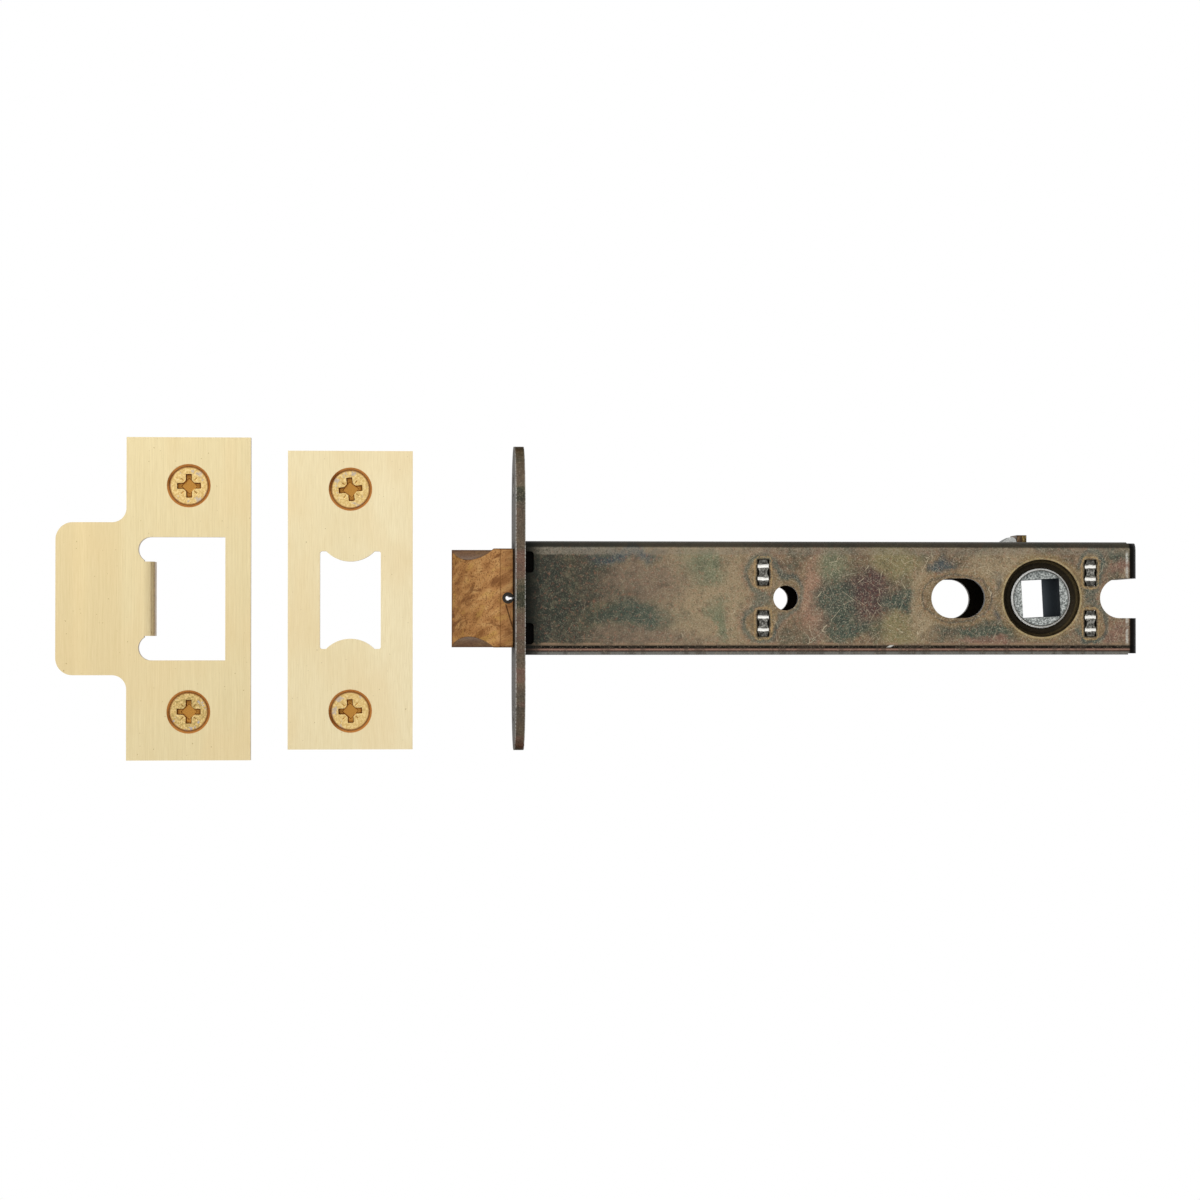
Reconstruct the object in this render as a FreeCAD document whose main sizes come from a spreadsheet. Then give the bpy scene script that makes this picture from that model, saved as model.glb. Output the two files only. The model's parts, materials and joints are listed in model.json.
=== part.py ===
import FreeCAD, Part
import math
import os
import re
import Sketcher

# A tubular door latch with its face plate, its strike plate and their screws, in millimetres.
# X runs along the case from the forend's front face to the rear, Z is up and Y crosses the case.
# The bolt's axis and the hub's axis both lie at Z = 0, and the bolt's bevel faces -Y.

SIZES = {
    # Bolt: a solid head with a hollow along its top and its bottom
    "bolt_height": 19.8,
    "bolt_thickness": 12.2,
    "bolt_throw": 12.4,
    "bolt_flat": 2.8,
    "bolt_tip": 1.2,
    "bolt_shank": 18.0,
    "bolt_edge": 0.6,
    "bevel_radius": 40.0,
    "hollow_width": 10.0,
    "hollow_depth": 2.1,
    "bolt_travel": 11.86,
    # Roll pin that holds the bolt on its tail
    "pin_place": 1.25,
    "pin_diameter": 2.25,
    "pin_bore": 1.0,
    "pin_slit": 0.5,
    "pin_sink": 0.15,
    "pin_gap": 0.02,
    # Case: two folded sheets, one with the top wall and one with the bottom wall
    "sheet_gauge": 1.2,
    "fold_radius": 1.8,
    "case_rear": 19.6,
    "bolt_gap": 0.25,
    "bolt_side_gap": 1.2,
    "flap_relief": 0.2,
    "flap_step": 0.25,
    "tongue_relief": 1.8,
    "tongue_relief_corner": 0.7,
    "shoulder_land": 0.3,
    "tongue_width": 10.0,
    "tongue_gap": 0.05,
    "rear_notch_width": 8.0,
    "rear_notch_depth": 7.7,
    "fixing_place": 54.2,
    "fixing_diameter": 5.0,
    "slot_ahead": 16.95,
    "slot_length": 10.9,
    "slot_width": 8.0,
    # Hub and the plunged collars that carry it
    "hub_place": 106.0,
    "boss_diameter": 12.0,
    "boss_gap": 0.06,
    "boss_recess": 0.6,
    "boss_chamfer": 0.5,
    "barrel_diameter": 13.2,
    "shoulder_gap": 0.1,
    "collar_mouth": 15.6,
    "collar_depth": 2.6,
    "collar_wall": 1.0,
    "square_size": 7.7,
    "square_turn": 3.0,
    # Hub arm, which leans forward at rest and turns back to pull the hook
    "arm_reach": 12.6,
    "arm_lean": 25.4,
    "arm_span": 14.6,
    "arm_nose": 1.0,
    "arm_flank": 1.6,
    "arm_root_back": 5.2,
    "arm_root_front": 1.0,
    "arm_width": 3.8,
    "arm_offset": 1.4,
    "arm_slot_gap": 0.45,
    # Bolt tail: a flat bar with a tongue in the bolt and a hook bent from its rear end
    "tail_gauge": 2.0,
    "tail_gap": 0.25,
    "tail_fit": 0.1,
    "tail_band": 2.8,
    "tongue_lead": 2.75,
    "tongue_height": 6.0,
    "web_start": 6.0,
    "web_end": 16.0,
    "hook_rise": 1.45,
    "hook_height": 2.6,
    "hook_reach": 5.0,
    "hook_gap": 0.1,
    "hook_bend": 1.5,
    # Spacers between the case sides, staked through them
    "spacer_front": 49.65,
    "spacer_behind": 9.9,
    "spacer_gauge": 2.2,
    "spacer_height": 17.2,
    "stake_width": 5.1,
    "stake_pitch": 10.2,
    "stake_proud": 0.2,
    "stake_gap": 0.1,
    "chisel_width": 0.8,
    "chisel_depth": 0.2,
    "waist_depth": 0.35,
    "waist_sink": 0.5,
    # Springs
    "bolt_wire": 1.0,
    "bolt_coil": 11.0,
    "bolt_turns": 6.5,
    "hub_wire": 0.9,
    "hub_coil_gap": 0.4,
    "hub_coil_pitch": 1.0,
    "hub_turns": 3.0,
    "hub_leg_gap": 0.15,
    # Forend, riveted to the case, and the face plate that covers it
    "forend_gauge": 2.0,
    "forend_length": 61.2,
    "forend_width": 25.5,
    "forend_screw_hole": 4.6,
    "screw_spacing": 45.5,
    "aperture_gap": 0.12,
    "aperture_corner": 0.45,
    "plate_gauge": 2.0,
    "face_plate_place": -33.1,
    "face_plate_drop": 0.25,
    "plate_depth": 10.5,
    # Strike plate
    "strike_place": -66.0,
    "strike_length": 66.0,
    "strike_width": 25.2,
    "strike_screw_spacing": 46.2,
    "strike_gauge": 2.0,
    "strike_opening_height": 25.2,
    "strike_opening_edge": 5.15,
    "strike_tab_edge": 3.6,
    "strike_tab_width": 15.2,
    "strike_tab_depth": 5.0,
    "strike_tab_bend": 2.05,
    "relief_radius": 2.55,
    "relief_edge": 2.4,
    "lip_length": 14.5,
    "lip_height": 31.2,
    "lip_corner": 3.5,
    "lip_fillet": 2.9,
    "lip_flat": 7.0,
    "lip_bend_radius": 14.0,
    "lip_bend_angle": 14.0,
    # Countersunk screws
    "sink_diameter": 8.9,
    "head_diameter": 7.8,
    "seat_gap": 0.05,
    "screw_diameter": 4.0,
    "screw_length": 20.0,
    "screw_point": 4.0,
    "recess_wing": 4.9,
    "recess_slot": 1.2,
    "recess_depth": 1.4,
    # How far a cut runs past the faces that it opens
    "cut_over": 1.0,
}

# Places that several pieces share, as formulas of the sizes above
IN_Z = "(bolt_height / 2 + bolt_gap)"
OUT_Z = "(bolt_height / 2 + bolt_gap + sheet_gauge)"
IN_Y = "(bolt_thickness / 2 + bolt_side_gap)"
OUT_Y = "(bolt_thickness / 2 + bolt_side_gap + sheet_gauge)"
RELIEF_END = "(forend_gauge + tongue_relief)"
SHOULDER_Z = f"({OUT_Z} - fold_radius - shoulder_land)"
CASE_END = "(hub_place + case_rear)"
WALL_END = "(hub_place + case_rear - fold_radius - flap_relief)"
SLOT_PLACE = "(hub_place - slot_ahead)"
SPACER_REAR = "(hub_place + spacer_behind)"
FLAP_Z = f"({OUT_Z} - flap_step)"
HOLLOW_RADIUS = "((hollow_width ^ 2 / 4 + hollow_depth ^ 2) / (2 * hollow_depth))"
HOLLOW_Z = f"(bolt_height / 2 - hollow_depth + {HOLLOW_RADIUS})"
BORE_RADIUS = "(boss_diameter / 2 + boss_gap)"
ARM_END = "(arm_reach + arm_nose)"
HOOK_FRONT = "(hub_place - arm_reach * sin(arm_lean) + arm_nose + hook_gap)"
HOOK_REAR = f"({HOOK_FRONT} + tail_gauge)"
HOOK_TOP = f"({OUT_Z} + hook_rise)"
BAND_HIGH = f"({IN_Z} - tail_gap)"
BAND_LOW = f"({BAND_HIGH} - tail_band)"
WAIST_REACH = "(stake_width / 6)"
WAIST_RADIUS = f"(({WAIST_REACH} ^ 2 + waist_depth ^ 2) / (2 * waist_depth))"
NEAR = 1e-4

doc = FreeCAD.newDocument("tubular_latch")
sheet = doc.addObject("Spreadsheet::Sheet", "Sizes")
for row, (alias, size) in enumerate(SIZES.items(), start=1):
    sheet.set(f"A{row}", alias)
    sheet.set(f"B{row}", str(size))
    sheet.setAlias(f"B{row}", alias)
doc.recompute()


# Helpers: formulas, sketches and features

def value(formula):
    """The number that a formula of the sheet's sizes gives."""
    return float(sheet.evalExpression(formula))


def bind(thing, setting, formula):
    """Tie a setting to a formula of the sheet's sizes."""
    linked = re.sub(r"[a-z_]+", lambda word: "Sizes." + word[0] if word[0] in SIZES else word[0], formula)
    thing.setExpression(setting, linked)


def new_body(label, place_x="0", place_y="0", place_z="0"):
    """An empty body, put at a place of the shared frame."""
    body = doc.addObject("PartDesign::Body", label)
    body.Label = label
    bind(body, "Placement.Base.x", place_x)
    bind(body, "Placement.Base.y", place_y)
    bind(body, "Placement.Base.z", place_z)
    return body


def new_sketch(body, plane, name, across="0", level="0"):
    """A sketch on one of the body's planes, shifted across it and along its normal."""
    sketch = body.newObject("Sketcher::SketchObject", name)
    support = next(part for part in body.Origin.OriginFeatures if part.Role == plane)
    sketch.AttachmentSupport = [(support, "")]
    sketch.MapMode = "FlatFace"
    bind(sketch, "AttachmentOffset.Base.x", across)
    bind(sketch, "AttachmentOffset.Base.z", level)
    return sketch


def hold(sketch, kind, *target):
    """Add one dimension to a sketch, tied to the formula that comes last."""
    *geometry, formula = target
    index = sketch.addConstraint(Sketcher.Constraint(kind, *geometry, value(formula)))
    bind(sketch, f"Constraints[{index}]", formula)


def arc_between(start, end, radius, turn):
    """The short arc from start to end, turning left or right, and the order of its ends."""
    chord = end - start
    rise = math.sqrt(max(radius ** 2 - chord.Length ** 2 / 4, 0))
    aside = FreeCAD.Vector(-chord.y, chord.x, 0).normalize()
    centre = (start + end) * 0.5 + aside * (rise if turn == "left" else -rise)
    ends = (start, end) if turn == "left" else (end, start)
    angles = [math.atan2(spot.y - centre.y, spot.x - centre.x) for spot in ends]
    circle = Part.Circle(centre, FreeCAD.Vector(0, 0, 1), radius)
    return Part.ArcOfCircle(circle, *angles), (1, 2) if turn == "left" else (2, 1)


def draw_outline(sketch, path):
    """A closed outline. A step is (x, y), or (x, y, radius, turn) where an arc leads there."""
    spots = [FreeCAD.Vector(value(step[0]), value(step[1]), 0) for step in path]
    first = sketch.GeometryCount
    ends = []
    for index, step in enumerate(path):
        edge = Part.LineSegment(spots[index - 1], spots[index]) if len(step) == 2 else None
        order = (1, 2)
        if edge is None:
            edge, order = arc_between(spots[index - 1], spots[index], value(step[2]), step[3])
        sketch.addGeometry(edge, False)
        ends.append(order)
    for index, step in enumerate(path):
        after = (index + 1) % len(path)
        joint = (first + index, ends[index][1], first + after, ends[after][0])
        sketch.addConstraint(Sketcher.Constraint("Coincident", *joint))
        hold(sketch, "DistanceX", -1, 1, first + index, ends[index][1], step[0])
        hold(sketch, "DistanceY", -1, 1, first + index, ends[index][1], step[1])
        if len(step) > 2:
            hold(sketch, "Radius", first + index, step[2])


def draw_circle(sketch, x, y, radius):
    """A circle about (x, y)."""
    centre = FreeCAD.Vector(value(x), value(y), 0)
    index = sketch.addGeometry(Part.Circle(centre, FreeCAD.Vector(0, 0, 1), value(radius)), False)
    hold(sketch, "DistanceX", -1, 1, index, 3, x)
    hold(sketch, "DistanceY", -1, 1, index, 3, y)
    hold(sketch, "Radius", index, radius)


def draw(sketch, loops):
    """Outlines are lists of steps, and circles are tuples."""
    for loop in loops:
        if isinstance(loop, list):
            draw_outline(sketch, loop)
        else:
            draw_circle(sketch, *loop)


def settle(feature, adds, before):
    """Recompute a feature and see that it added or took away material."""
    doc.recompute()
    change = feature.Shape.Volume - before
    if (change <= 0) if adds else (change >= 0):
        raise RuntimeError(f"{feature.Label} changed nothing")


def volume_of(body):
    """The body's volume so far."""
    return body.Tip.Shape.Volume if body.Tip else 0.0


def extrude(body, kind, plane, name, low, high, *loops):
    """A pad or a pocket between two levels along the axis that crosses the plane."""
    before = volume_of(body)
    backward = plane == "XZ_Plane"
    sketch = new_sketch(body, plane, name + "_outline", level=f"-({low})" if backward else low)
    draw(sketch, loops)
    feature = body.newObject("PartDesign::" + kind, name)
    feature.Profile = sketch
    feature.Reversed = backward == (kind == "Pad")
    bind(feature, "Length", f"({high}) - ({low})")
    settle(feature, kind == "Pad", before)
    return feature


def turn(body, kind, name, axis_x, axis_z, path):
    """A revolution or a groove about a line along Y. The outline's steps are (radius, y)."""
    before = volume_of(body)
    sketch = new_sketch(body, "XY_Plane", name + "_outline", across=axis_x, level=axis_z)
    draw(sketch, [path])
    feature = body.newObject("PartDesign::" + kind, name)
    feature.Profile = sketch
    feature.ReferenceAxis = (sketch, ["V_Axis"])
    feature.Angle = 360
    settle(feature, kind == "Revolution", before)
    return feature


def round_edges(body, name, radius, **place):
    """Round the straight edges that lie at the given coordinates."""
    spots = {axis: value(formula) for axis, formula in place.items()}
    base = body.Tip
    edges = []
    for index, edge in enumerate(base.Shape.Edges, start=1):
        off = [abs(getattr(end.Point, axis) - spots[axis]) for end in edge.Vertexes for axis in spots]
        if max(off) < NEAR:
            edges.append(f"Edge{index}")
    feature = body.newObject("PartDesign::Fillet", name)
    feature.Base = (base, edges)
    bind(feature, "Radius", radius)
    doc.recompute()


def box_path(low_x, high_x, low_y, high_y):
    """A rectangle's outline."""
    return [(low_x, low_y), (high_x, low_y), (high_x, high_y), (low_x, high_y)]


# Case

def stake_holes(place):
    """Outlines of the two slots in a case side that a spacer's tabs go through."""
    holes = []
    for sign in ("-", ""):
        middle = f"{sign}(stake_pitch / 2)"
        across = (f"{place} - spacer_gauge / 2 - stake_gap", f"{place} + spacer_gauge / 2 + stake_gap")
        upright = (f"{middle} - stake_width / 2 - stake_gap", f"{middle} + stake_width / 2 + stake_gap")
        holes.append(box_path(*across, *upright))
    return holes


def slot_path():
    """The long hole for a bolt-through fixing."""
    radius = "(slot_width / 2)"
    front = f"({SLOT_PLACE} - slot_length / 2 + {radius})"
    rear = f"({SLOT_PLACE} + slot_length / 2 - {radius})"
    return [
        (rear, f"-{radius}"),
        (f"{rear} + {radius}", "0", radius, "left"),
        (rear, radius, radius, "left"),
        (front, radius),
        (f"{front} - {radius}", "0", radius, "left"),
        (front, f"-{radius}", radius, "left"),
    ]


def rear_notch_path():
    """The U-shaped notch that opens the rear end."""
    radius = "(rear_notch_width / 2)"
    bottom = f"({CASE_END} - rear_notch_depth)"
    mouth = f"({CASE_END} + cut_over)"
    return [
        (mouth, f"-{radius}"),
        (mouth, radius),
        (f"{bottom} + {radius}", radius),
        (bottom, "0", radius, "left"),
        (f"{bottom} + {radius}", f"-{radius}", radius, "left"),
    ]


def tongue_path(wall, other):
    """The front end of a case side: a shoulder by each wall, and the tongue between two reliefs."""
    half = "(tongue_width / 2)"
    corner = "tongue_relief_corner"
    bend = "left" if wall == "-" else "right"
    return [
        ("forend_gauge", f"{wall}{SHOULDER_Z}"),
        (f"{RELIEF_END} - {corner}", f"{wall}{SHOULDER_Z}"),
        (RELIEF_END, f"{wall}({SHOULDER_Z} - {corner})", corner, bend),
        (RELIEF_END, f"{wall}({half} + {corner})"),
        (f"{RELIEF_END} - {corner}", f"{wall}{half}", corner, bend),
        ("0", f"{wall}{half}"),
        ("0", f"{other}{half}"),
        (f"{RELIEF_END} - {corner}", f"{other}{half}"),
        (RELIEF_END, f"{other}({half} + {corner})", corner, bend),
        (RELIEF_END, f"{other}({SHOULDER_Z} - {corner})"),
        (f"{RELIEF_END} - {corner}", f"{other}{SHOULDER_Z}", corner, bend),
        ("forend_gauge", f"{other}{SHOULDER_Z}"),
    ]


def case_half(label, side, wall, flaps):
    """One half of the case. side and wall are the signs of its sheet's Y and of its wall's Z."""
    body = new_body(label)
    low_y, high_y = (f"-{OUT_Y}", f"-{IN_Y}") if side == "-" else (IN_Y, OUT_Y)
    other = "" if wall == "-" else "-"
    sheet_path = tongue_path(wall, other) + [
        ("forend_gauge", f"{other}{IN_Z}"),
        (WALL_END, f"{other}{IN_Z}"),
        (WALL_END, f"{other}{FLAP_Z}"),
        (CASE_END, f"{other}{FLAP_Z}"),
        (CASE_END, f"{wall}{FLAP_Z}"),
        (WALL_END, f"{wall}{FLAP_Z}"),
        (WALL_END, f"{wall}{OUT_Z}"),
        ("forend_gauge", f"{wall}{OUT_Z}"),
    ]
    extrude(body, "Pad", "XZ_Plane", label + "_side", low_y, high_y, sheet_path)
    wall_path = box_path("forend_gauge", WALL_END, f"{wall}{IN_Z}", f"{wall}{OUT_Z}")
    extrude(body, "Pad", "XZ_Plane", label + "_wall", f"-{OUT_Y}", OUT_Y, wall_path)
    round_edges(body, label + "_fold", "fold_radius", y=f"{side}{OUT_Y}", z=f"{wall}{OUT_Z}")
    if flaps:
        flap_path = box_path(f"{CASE_END} - sheet_gauge", CASE_END, f"-{FLAP_Z}", FLAP_Z)
        extrude(body, "Pad", "XZ_Plane", label + "_flaps", f"-{OUT_Y}", IN_Y, flap_path)
        round_edges(body, label + "_flap_fold", "fold_radius", x=CASE_END, y=f"{side}{OUT_Y}")
    holes = [
        rear_notch_path(),
        ("fixing_place", "0", "fixing_diameter / 2"),
        slot_path(),
        ("hub_place", "0", "collar_mouth / 2"),
    ]
    holes += stake_holes("spacer_front") + stake_holes(SPACER_REAR)
    through = (f"-{OUT_Y} - cut_over", f"{OUT_Y} + cut_over")
    extrude(body, "Pocket", "XZ_Plane", label + "_holes", *through, *holes)
    collar(body, label, side)
    return body


def collar(body, label, side):
    """The rim plunged inward round the hub's hole, with a rounded mouth."""
    mouth = "(collar_mouth / 2)"
    lead = f"({mouth} - {BORE_RADIUS})"
    inward = "+" if side == "-" else "-"
    face = f"{side}{OUT_Y}"
    path = [
        (mouth, face),
        (BORE_RADIUS, f"{face} {inward} {lead}", lead, "left" if side == "-" else "right"),
        (BORE_RADIUS, f"{face} {inward} collar_depth"),
        (f"{BORE_RADIUS} + collar_wall", f"{face} {inward} collar_depth"),
        (mouth, f"{side}{IN_Y}"),
    ]
    turn(body, "Revolution", label + "_collar", "hub_place", "0", path)


def case_tray():
    """The near half, with the top wall, the rear flaps and the slot for the arm and the hook."""
    body = case_half("case_tray", "-", "", True)
    front = f"hub_place - {ARM_END} * sin(arm_lean + arm_span) - arm_slot_gap"
    rear = f"{HOOK_REAR} + bolt_travel + arm_slot_gap"
    near = "-(arm_offset + arm_width + arm_slot_gap)"
    far = "tail_gauge / 2 + arm_slot_gap"
    path = box_path(front, rear, near, far)
    extrude(body, "Pocket", "XY_Plane", "arm_slot", f"{IN_Z} - cut_over", f"{OUT_Z} + cut_over", path)
    return body


# Forend and plates

def aperture_path(middle):
    """The hole for the bolt, with a bulge into each of the bolt's hollows."""
    half_width = "(bolt_thickness / 2 + aperture_gap)"
    half_height = "(bolt_height / 2 + aperture_gap)"
    radius = f"({HOLLOW_RADIUS} - aperture_gap)"
    reach = f"sqrt({radius} ^ 2 - ({HOLLOW_Z} - {half_height}) ^ 2)"
    corner = "aperture_corner"
    right = f"{middle} + {half_width}"
    left = f"{middle} - {half_width}"
    return [
        (right, f"{half_height} - {corner}"),
        (f"{right} - {corner}", half_height, corner, "left"),
        (f"{middle} + {reach}", half_height),
        (f"{middle} - {reach}", half_height, radius, "right"),
        (f"{left} + {corner}", half_height),
        (left, f"{half_height} - {corner}", corner, "left"),
        (left, f"-{half_height} + {corner}"),
        (f"{left} + {corner}", f"-{half_height}", corner, "left"),
        (f"{middle} - {reach}", f"-{half_height}"),
        (f"{middle} + {reach}", f"-{half_height}", radius, "right"),
        (f"{right} - {corner}", f"-{half_height}"),
        (right, f"-{half_height} + {corner}", corner, "left"),
    ]


def forend():
    """The plate with round ends that the case is riveted to."""
    body = new_body("forend")
    end = "(forend_width / 2)"
    run = f"(forend_length / 2 - {end})"
    rim = [
        (end, run),
        ("0", "forend_length / 2", end, "left"),
        (f"-{end}", run, end, "left"),
        (f"-{end}", f"-{run}"),
        ("0", "-forend_length / 2", end, "left"),
        (end, f"-{run}", end, "left"),
    ]
    holes = [("0", f"{sign}screw_spacing / 2", "forend_screw_hole / 2") for sign in ("-", "")]
    upright = ("-tongue_width / 2 - tongue_gap", "tongue_width / 2 + tongue_gap")
    for low, high in ((f"-{OUT_Y}", f"-{IN_Y}"), (IN_Y, OUT_Y)):
        holes.append(box_path(f"{low} - tongue_gap", f"{high} + tongue_gap", *upright))
    extrude(body, "Pad", "YZ_Plane", "forend_plate", "0", "forend_gauge", rim, aperture_path("0"), *holes)
    return body


def countersinks(body, label, spacing, gauge):
    """Two countersunk screw holes, one above the other, through a plate that faces -Y."""
    for name, sign in (("lower", "-"), ("upper", "")):
        rim = "(sink_diameter / 2)"
        path = [
            ("0", "-cut_over"),
            (f"{rim} + cut_over", "-cut_over"),
            (f"{rim} - {gauge} - cut_over", f"{gauge} + cut_over"),
            ("0", f"{gauge} + cut_over"),
        ]
        turn(body, "Groove", f"{label}_{name}_sink", "0", f"{sign}({spacing} / 2)", path)


def face_plate():
    """The square-ended plate that covers the forend."""
    body = new_body("face_plate", "face_plate_place", "plate_depth", "-face_plate_drop")
    rim = box_path("-forend_width / 2", "forend_width / 2", "-forend_length / 2", "forend_length / 2")
    extrude(body, "Pad", "XZ_Plane", "face_plate_sheet", "0", "plate_gauge", rim, aperture_path("0"))
    countersinks(body, "face_plate", "screw_spacing", "plate_gauge")
    return body


def lip_section():
    """The strike plate's section across its width, with the lip bent back."""
    right = "strike_width / 2"
    bend = "(-strike_width / 2 - lip_length + lip_flat)"
    outer = "lip_bend_radius"
    inner = "(lip_bend_radius - strike_gauge)"
    angle = "lip_bend_angle"
    run = f"(lip_flat - {outer} * sin({angle}))"
    front = (f"{bend} - {outer} * sin({angle})", f"{outer} * (1 - cos({angle}))")
    back = (f"{bend} - {inner} * sin({angle})", f"{outer} - {inner} * cos({angle})")
    along = (f"{run}", f"{run} * tan({angle})")
    return [
        (bend, "0"),
        (front[0], front[1], outer, "right"),
        (f"{front[0]} - {along[0]}", f"{front[1]} + {along[1]}"),
        (f"{back[0]} - {along[0]}", f"{back[1]} + {along[1]}"),
        (back[0], back[1]),
        (bend, "strike_gauge", inner, "left"),
        (right, "strike_gauge"),
        (right, "0"),
    ]


def lip_corner_path(sign):
    """The waste beside the lip, above it or below it."""
    left = "(-strike_width / 2 - lip_length)"
    root = "(-strike_width / 2)"
    edge = "(lip_height / 2)"
    over = "(strike_length / 2 + cut_over)"
    turns = ("left", "right") if sign == "" else ("right", "left")
    return [
        (root, f"{sign}{over}"),
        (root, f"{sign}({edge} + lip_fillet)"),
        (f"{root} - lip_fillet", f"{sign}{edge}", "lip_fillet", turns[1]),
        (f"{left} + lip_corner", f"{sign}{edge}"),
        (left, f"{sign}({edge} - lip_corner)", "lip_corner", turns[0]),
        (f"{left} - cut_over", f"{sign}({edge} - lip_corner)"),
        (f"{left} - cut_over", f"{sign}{over}"),
    ]


def strike_opening_path():
    """The strike's opening, with a round relief each side of the bent tab."""
    right = "(strike_width / 2 - strike_opening_edge)"
    tab = "(-strike_width / 2 + strike_tab_edge)"
    centre = "(-strike_width / 2 + relief_edge + relief_radius)"
    top = "(strike_opening_height / 2)"
    level = f"({top} - relief_radius)"
    meet = f"({level} - sqrt(relief_radius ^ 2 - ({centre} - {tab}) ^ 2))"
    return [
        (right, f"-{top}"),
        (right, top),
        (centre, top),
        (f"{centre} - relief_radius", level, "relief_radius", "left"),
        (tab, meet, "relief_radius", "left"),
        (tab, f"-{meet}"),
        (f"{centre} - relief_radius", f"-{level}", "relief_radius", "left"),
        (centre, f"-{top}", "relief_radius", "left"),
    ]


def strike_tab_path():
    """The tab's section, bent back from the left side of the opening."""
    root = "(-strike_width / 2 + strike_tab_edge)"
    face = f"({root} + strike_tab_bend)"
    return [
        (root, "strike_gauge"),
        (f"{face} - strike_gauge", "strike_gauge"),
        (f"{face} - strike_gauge", "strike_tab_depth"),
        (face, "strike_tab_depth"),
        (face, "strike_tab_bend"),
        (root, "0", "strike_tab_bend", "right"),
    ]


def strike_plate():
    """The plate for the door frame, with a lip that leads the bolt in."""
    body = new_body("strike_plate", "strike_place", "plate_depth")
    half = "strike_length / 2"
    extrude(body, "Pad", "XY_Plane", "strike_sheet", f"-{half}", half, lip_section())
    waste = [lip_corner_path(""), lip_corner_path("-")]
    depth = ("-cut_over", "strike_tab_depth + lip_length")
    extrude(body, "Pocket", "XZ_Plane", "lip_corners", *depth, *waste)
    extrude(body, "Pocket", "XZ_Plane", "strike_opening", *depth, strike_opening_path())
    tab = ("-strike_tab_width / 2", "strike_tab_width / 2")
    extrude(body, "Pad", "XY_Plane", "strike_tab", *tab, strike_tab_path())
    countersinks(body, "strike_plate", "strike_screw_spacing", "strike_gauge")
    return body


# Screws

def screw(name, place_x, place_z):
    """A countersunk wood screw that points along +Y, with a cross recess in its head."""
    head_top = "((sink_diameter - head_diameter) / 2 - seat_gap)"
    body = new_body(name, place_x, f"plate_depth + {head_top}", place_z)
    head = "(head_diameter / 2)"
    shank = "(screw_diameter / 2)"
    path = [
        ("0", "0"),
        (head, "0"),
        (shank, f"{head} - {shank}"),
        (shank, "screw_length - screw_point"),
        ("0", "screw_length"),
    ]
    turn(body, "Revolution", name + "_shank", "0", "0", path)
    wing = "(recess_wing / 2)"
    arm = "(recess_slot / 2)"
    cross = [
        (wing, f"-{arm}"),
        (wing, arm),
        (arm, arm),
        (arm, wing),
        (f"-{arm}", wing),
        (f"-{arm}", arm),
        (f"-{wing}", arm),
        (f"-{wing}", f"-{arm}"),
        (f"-{arm}", f"-{arm}"),
        (f"-{arm}", f"-{wing}"),
        (arm, f"-{wing}"),
        (arm, f"-{arm}"),
    ]
    extrude(body, "Pocket", "XZ_Plane", name + "_recess", "-cut_over", "recess_depth", cross)
    return body


def screw_pair(label, place_x, place_z, spacing):
    """A plate's two screws, one node of two solids."""
    pair = doc.addObject("Part::Compound", label)
    pair.Label = label
    pair.Links = [
        screw(f"{label}_{name}", place_x, f"{place_z} {sign} {spacing} / 2")
        for name, sign in (("lower", "-"), ("upper", "+"))
    ]
    return pair


# Bolt, its tail and its pin

def latch_bolt():
    """The bolt: bevelled towards -Y, hollowed above and below, slotted for the tail."""
    body = new_body("latch_bolt")
    side = "(bolt_thickness / 2)"
    top = "(bolt_height / 2)"
    section = [
        ("bolt_shank", f"-{side}"),
        ("bolt_shank", side),
        ("-bolt_throw", side),
        ("-bolt_throw", f"{side} - bolt_tip"),
        ("-bolt_flat", f"-{side}", "bevel_radius", "left"),
    ]
    extrude(body, "Pad", "XY_Plane", "bolt_block", f"-{top}", top, section)
    for name, y_sign, z_sign in (("a", "", ""), ("b", "", "-"), ("c", "-", ""), ("d", "-", "-")):
        round_edges(body, f"bolt_edge_{name}", "bolt_edge", y=f"{y_sign}{side}", z=f"{z_sign}{top}")
    hollows = [("0", f"{sign}{HOLLOW_Z}", HOLLOW_RADIUS) for sign in ("-", "")]
    along = ("-bolt_throw - cut_over", "bolt_shank + cut_over")
    extrude(body, "Pocket", "YZ_Plane", "bolt_hollows", *along, *hollows)
    front = "(-pin_place - tongue_lead - tail_fit)"
    rear = "(bolt_shank + cut_over)"
    low = "(tongue_height / 2 + tail_fit)"
    slot = [
        (front, f"-{low}"),
        (rear, f"-{low}"),
        (rear, f"{top} + cut_over"),
        ("web_start - tail_fit", f"{top} + cut_over"),
        ("web_start - tail_fit", low),
        (front, low),
    ]
    half = "(tail_gauge / 2 + tail_fit)"
    extrude(body, "Pocket", "XZ_Plane", "tail_slot", f"-{half}", half, slot)
    hole = ("-pin_place", "0", "pin_diameter / 2 + pin_gap")
    extrude(body, "Pocket", "XZ_Plane", "pin_hole", f"-{side} - cut_over", f"{side} + cut_over", hole)
    return body


def bolt_pin():
    """A rolled spring pin, slit along one side."""
    body = new_body("bolt_pin", "-pin_place")
    end = "(bolt_thickness / 2 - pin_sink)"
    ring = [("0", "0", "pin_diameter / 2"), ("0", "0", "pin_bore / 2")]
    extrude(body, "Pad", "XZ_Plane", "pin_tube", f"-{end}", end, *ring)
    slit = box_path("0", "pin_diameter", "-pin_slit / 2", "pin_slit / 2")
    extrude(body, "Pocket", "XZ_Plane", "pin_opening", f"-{end} - cut_over", f"{end} + cut_over", slit)
    return body


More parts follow.
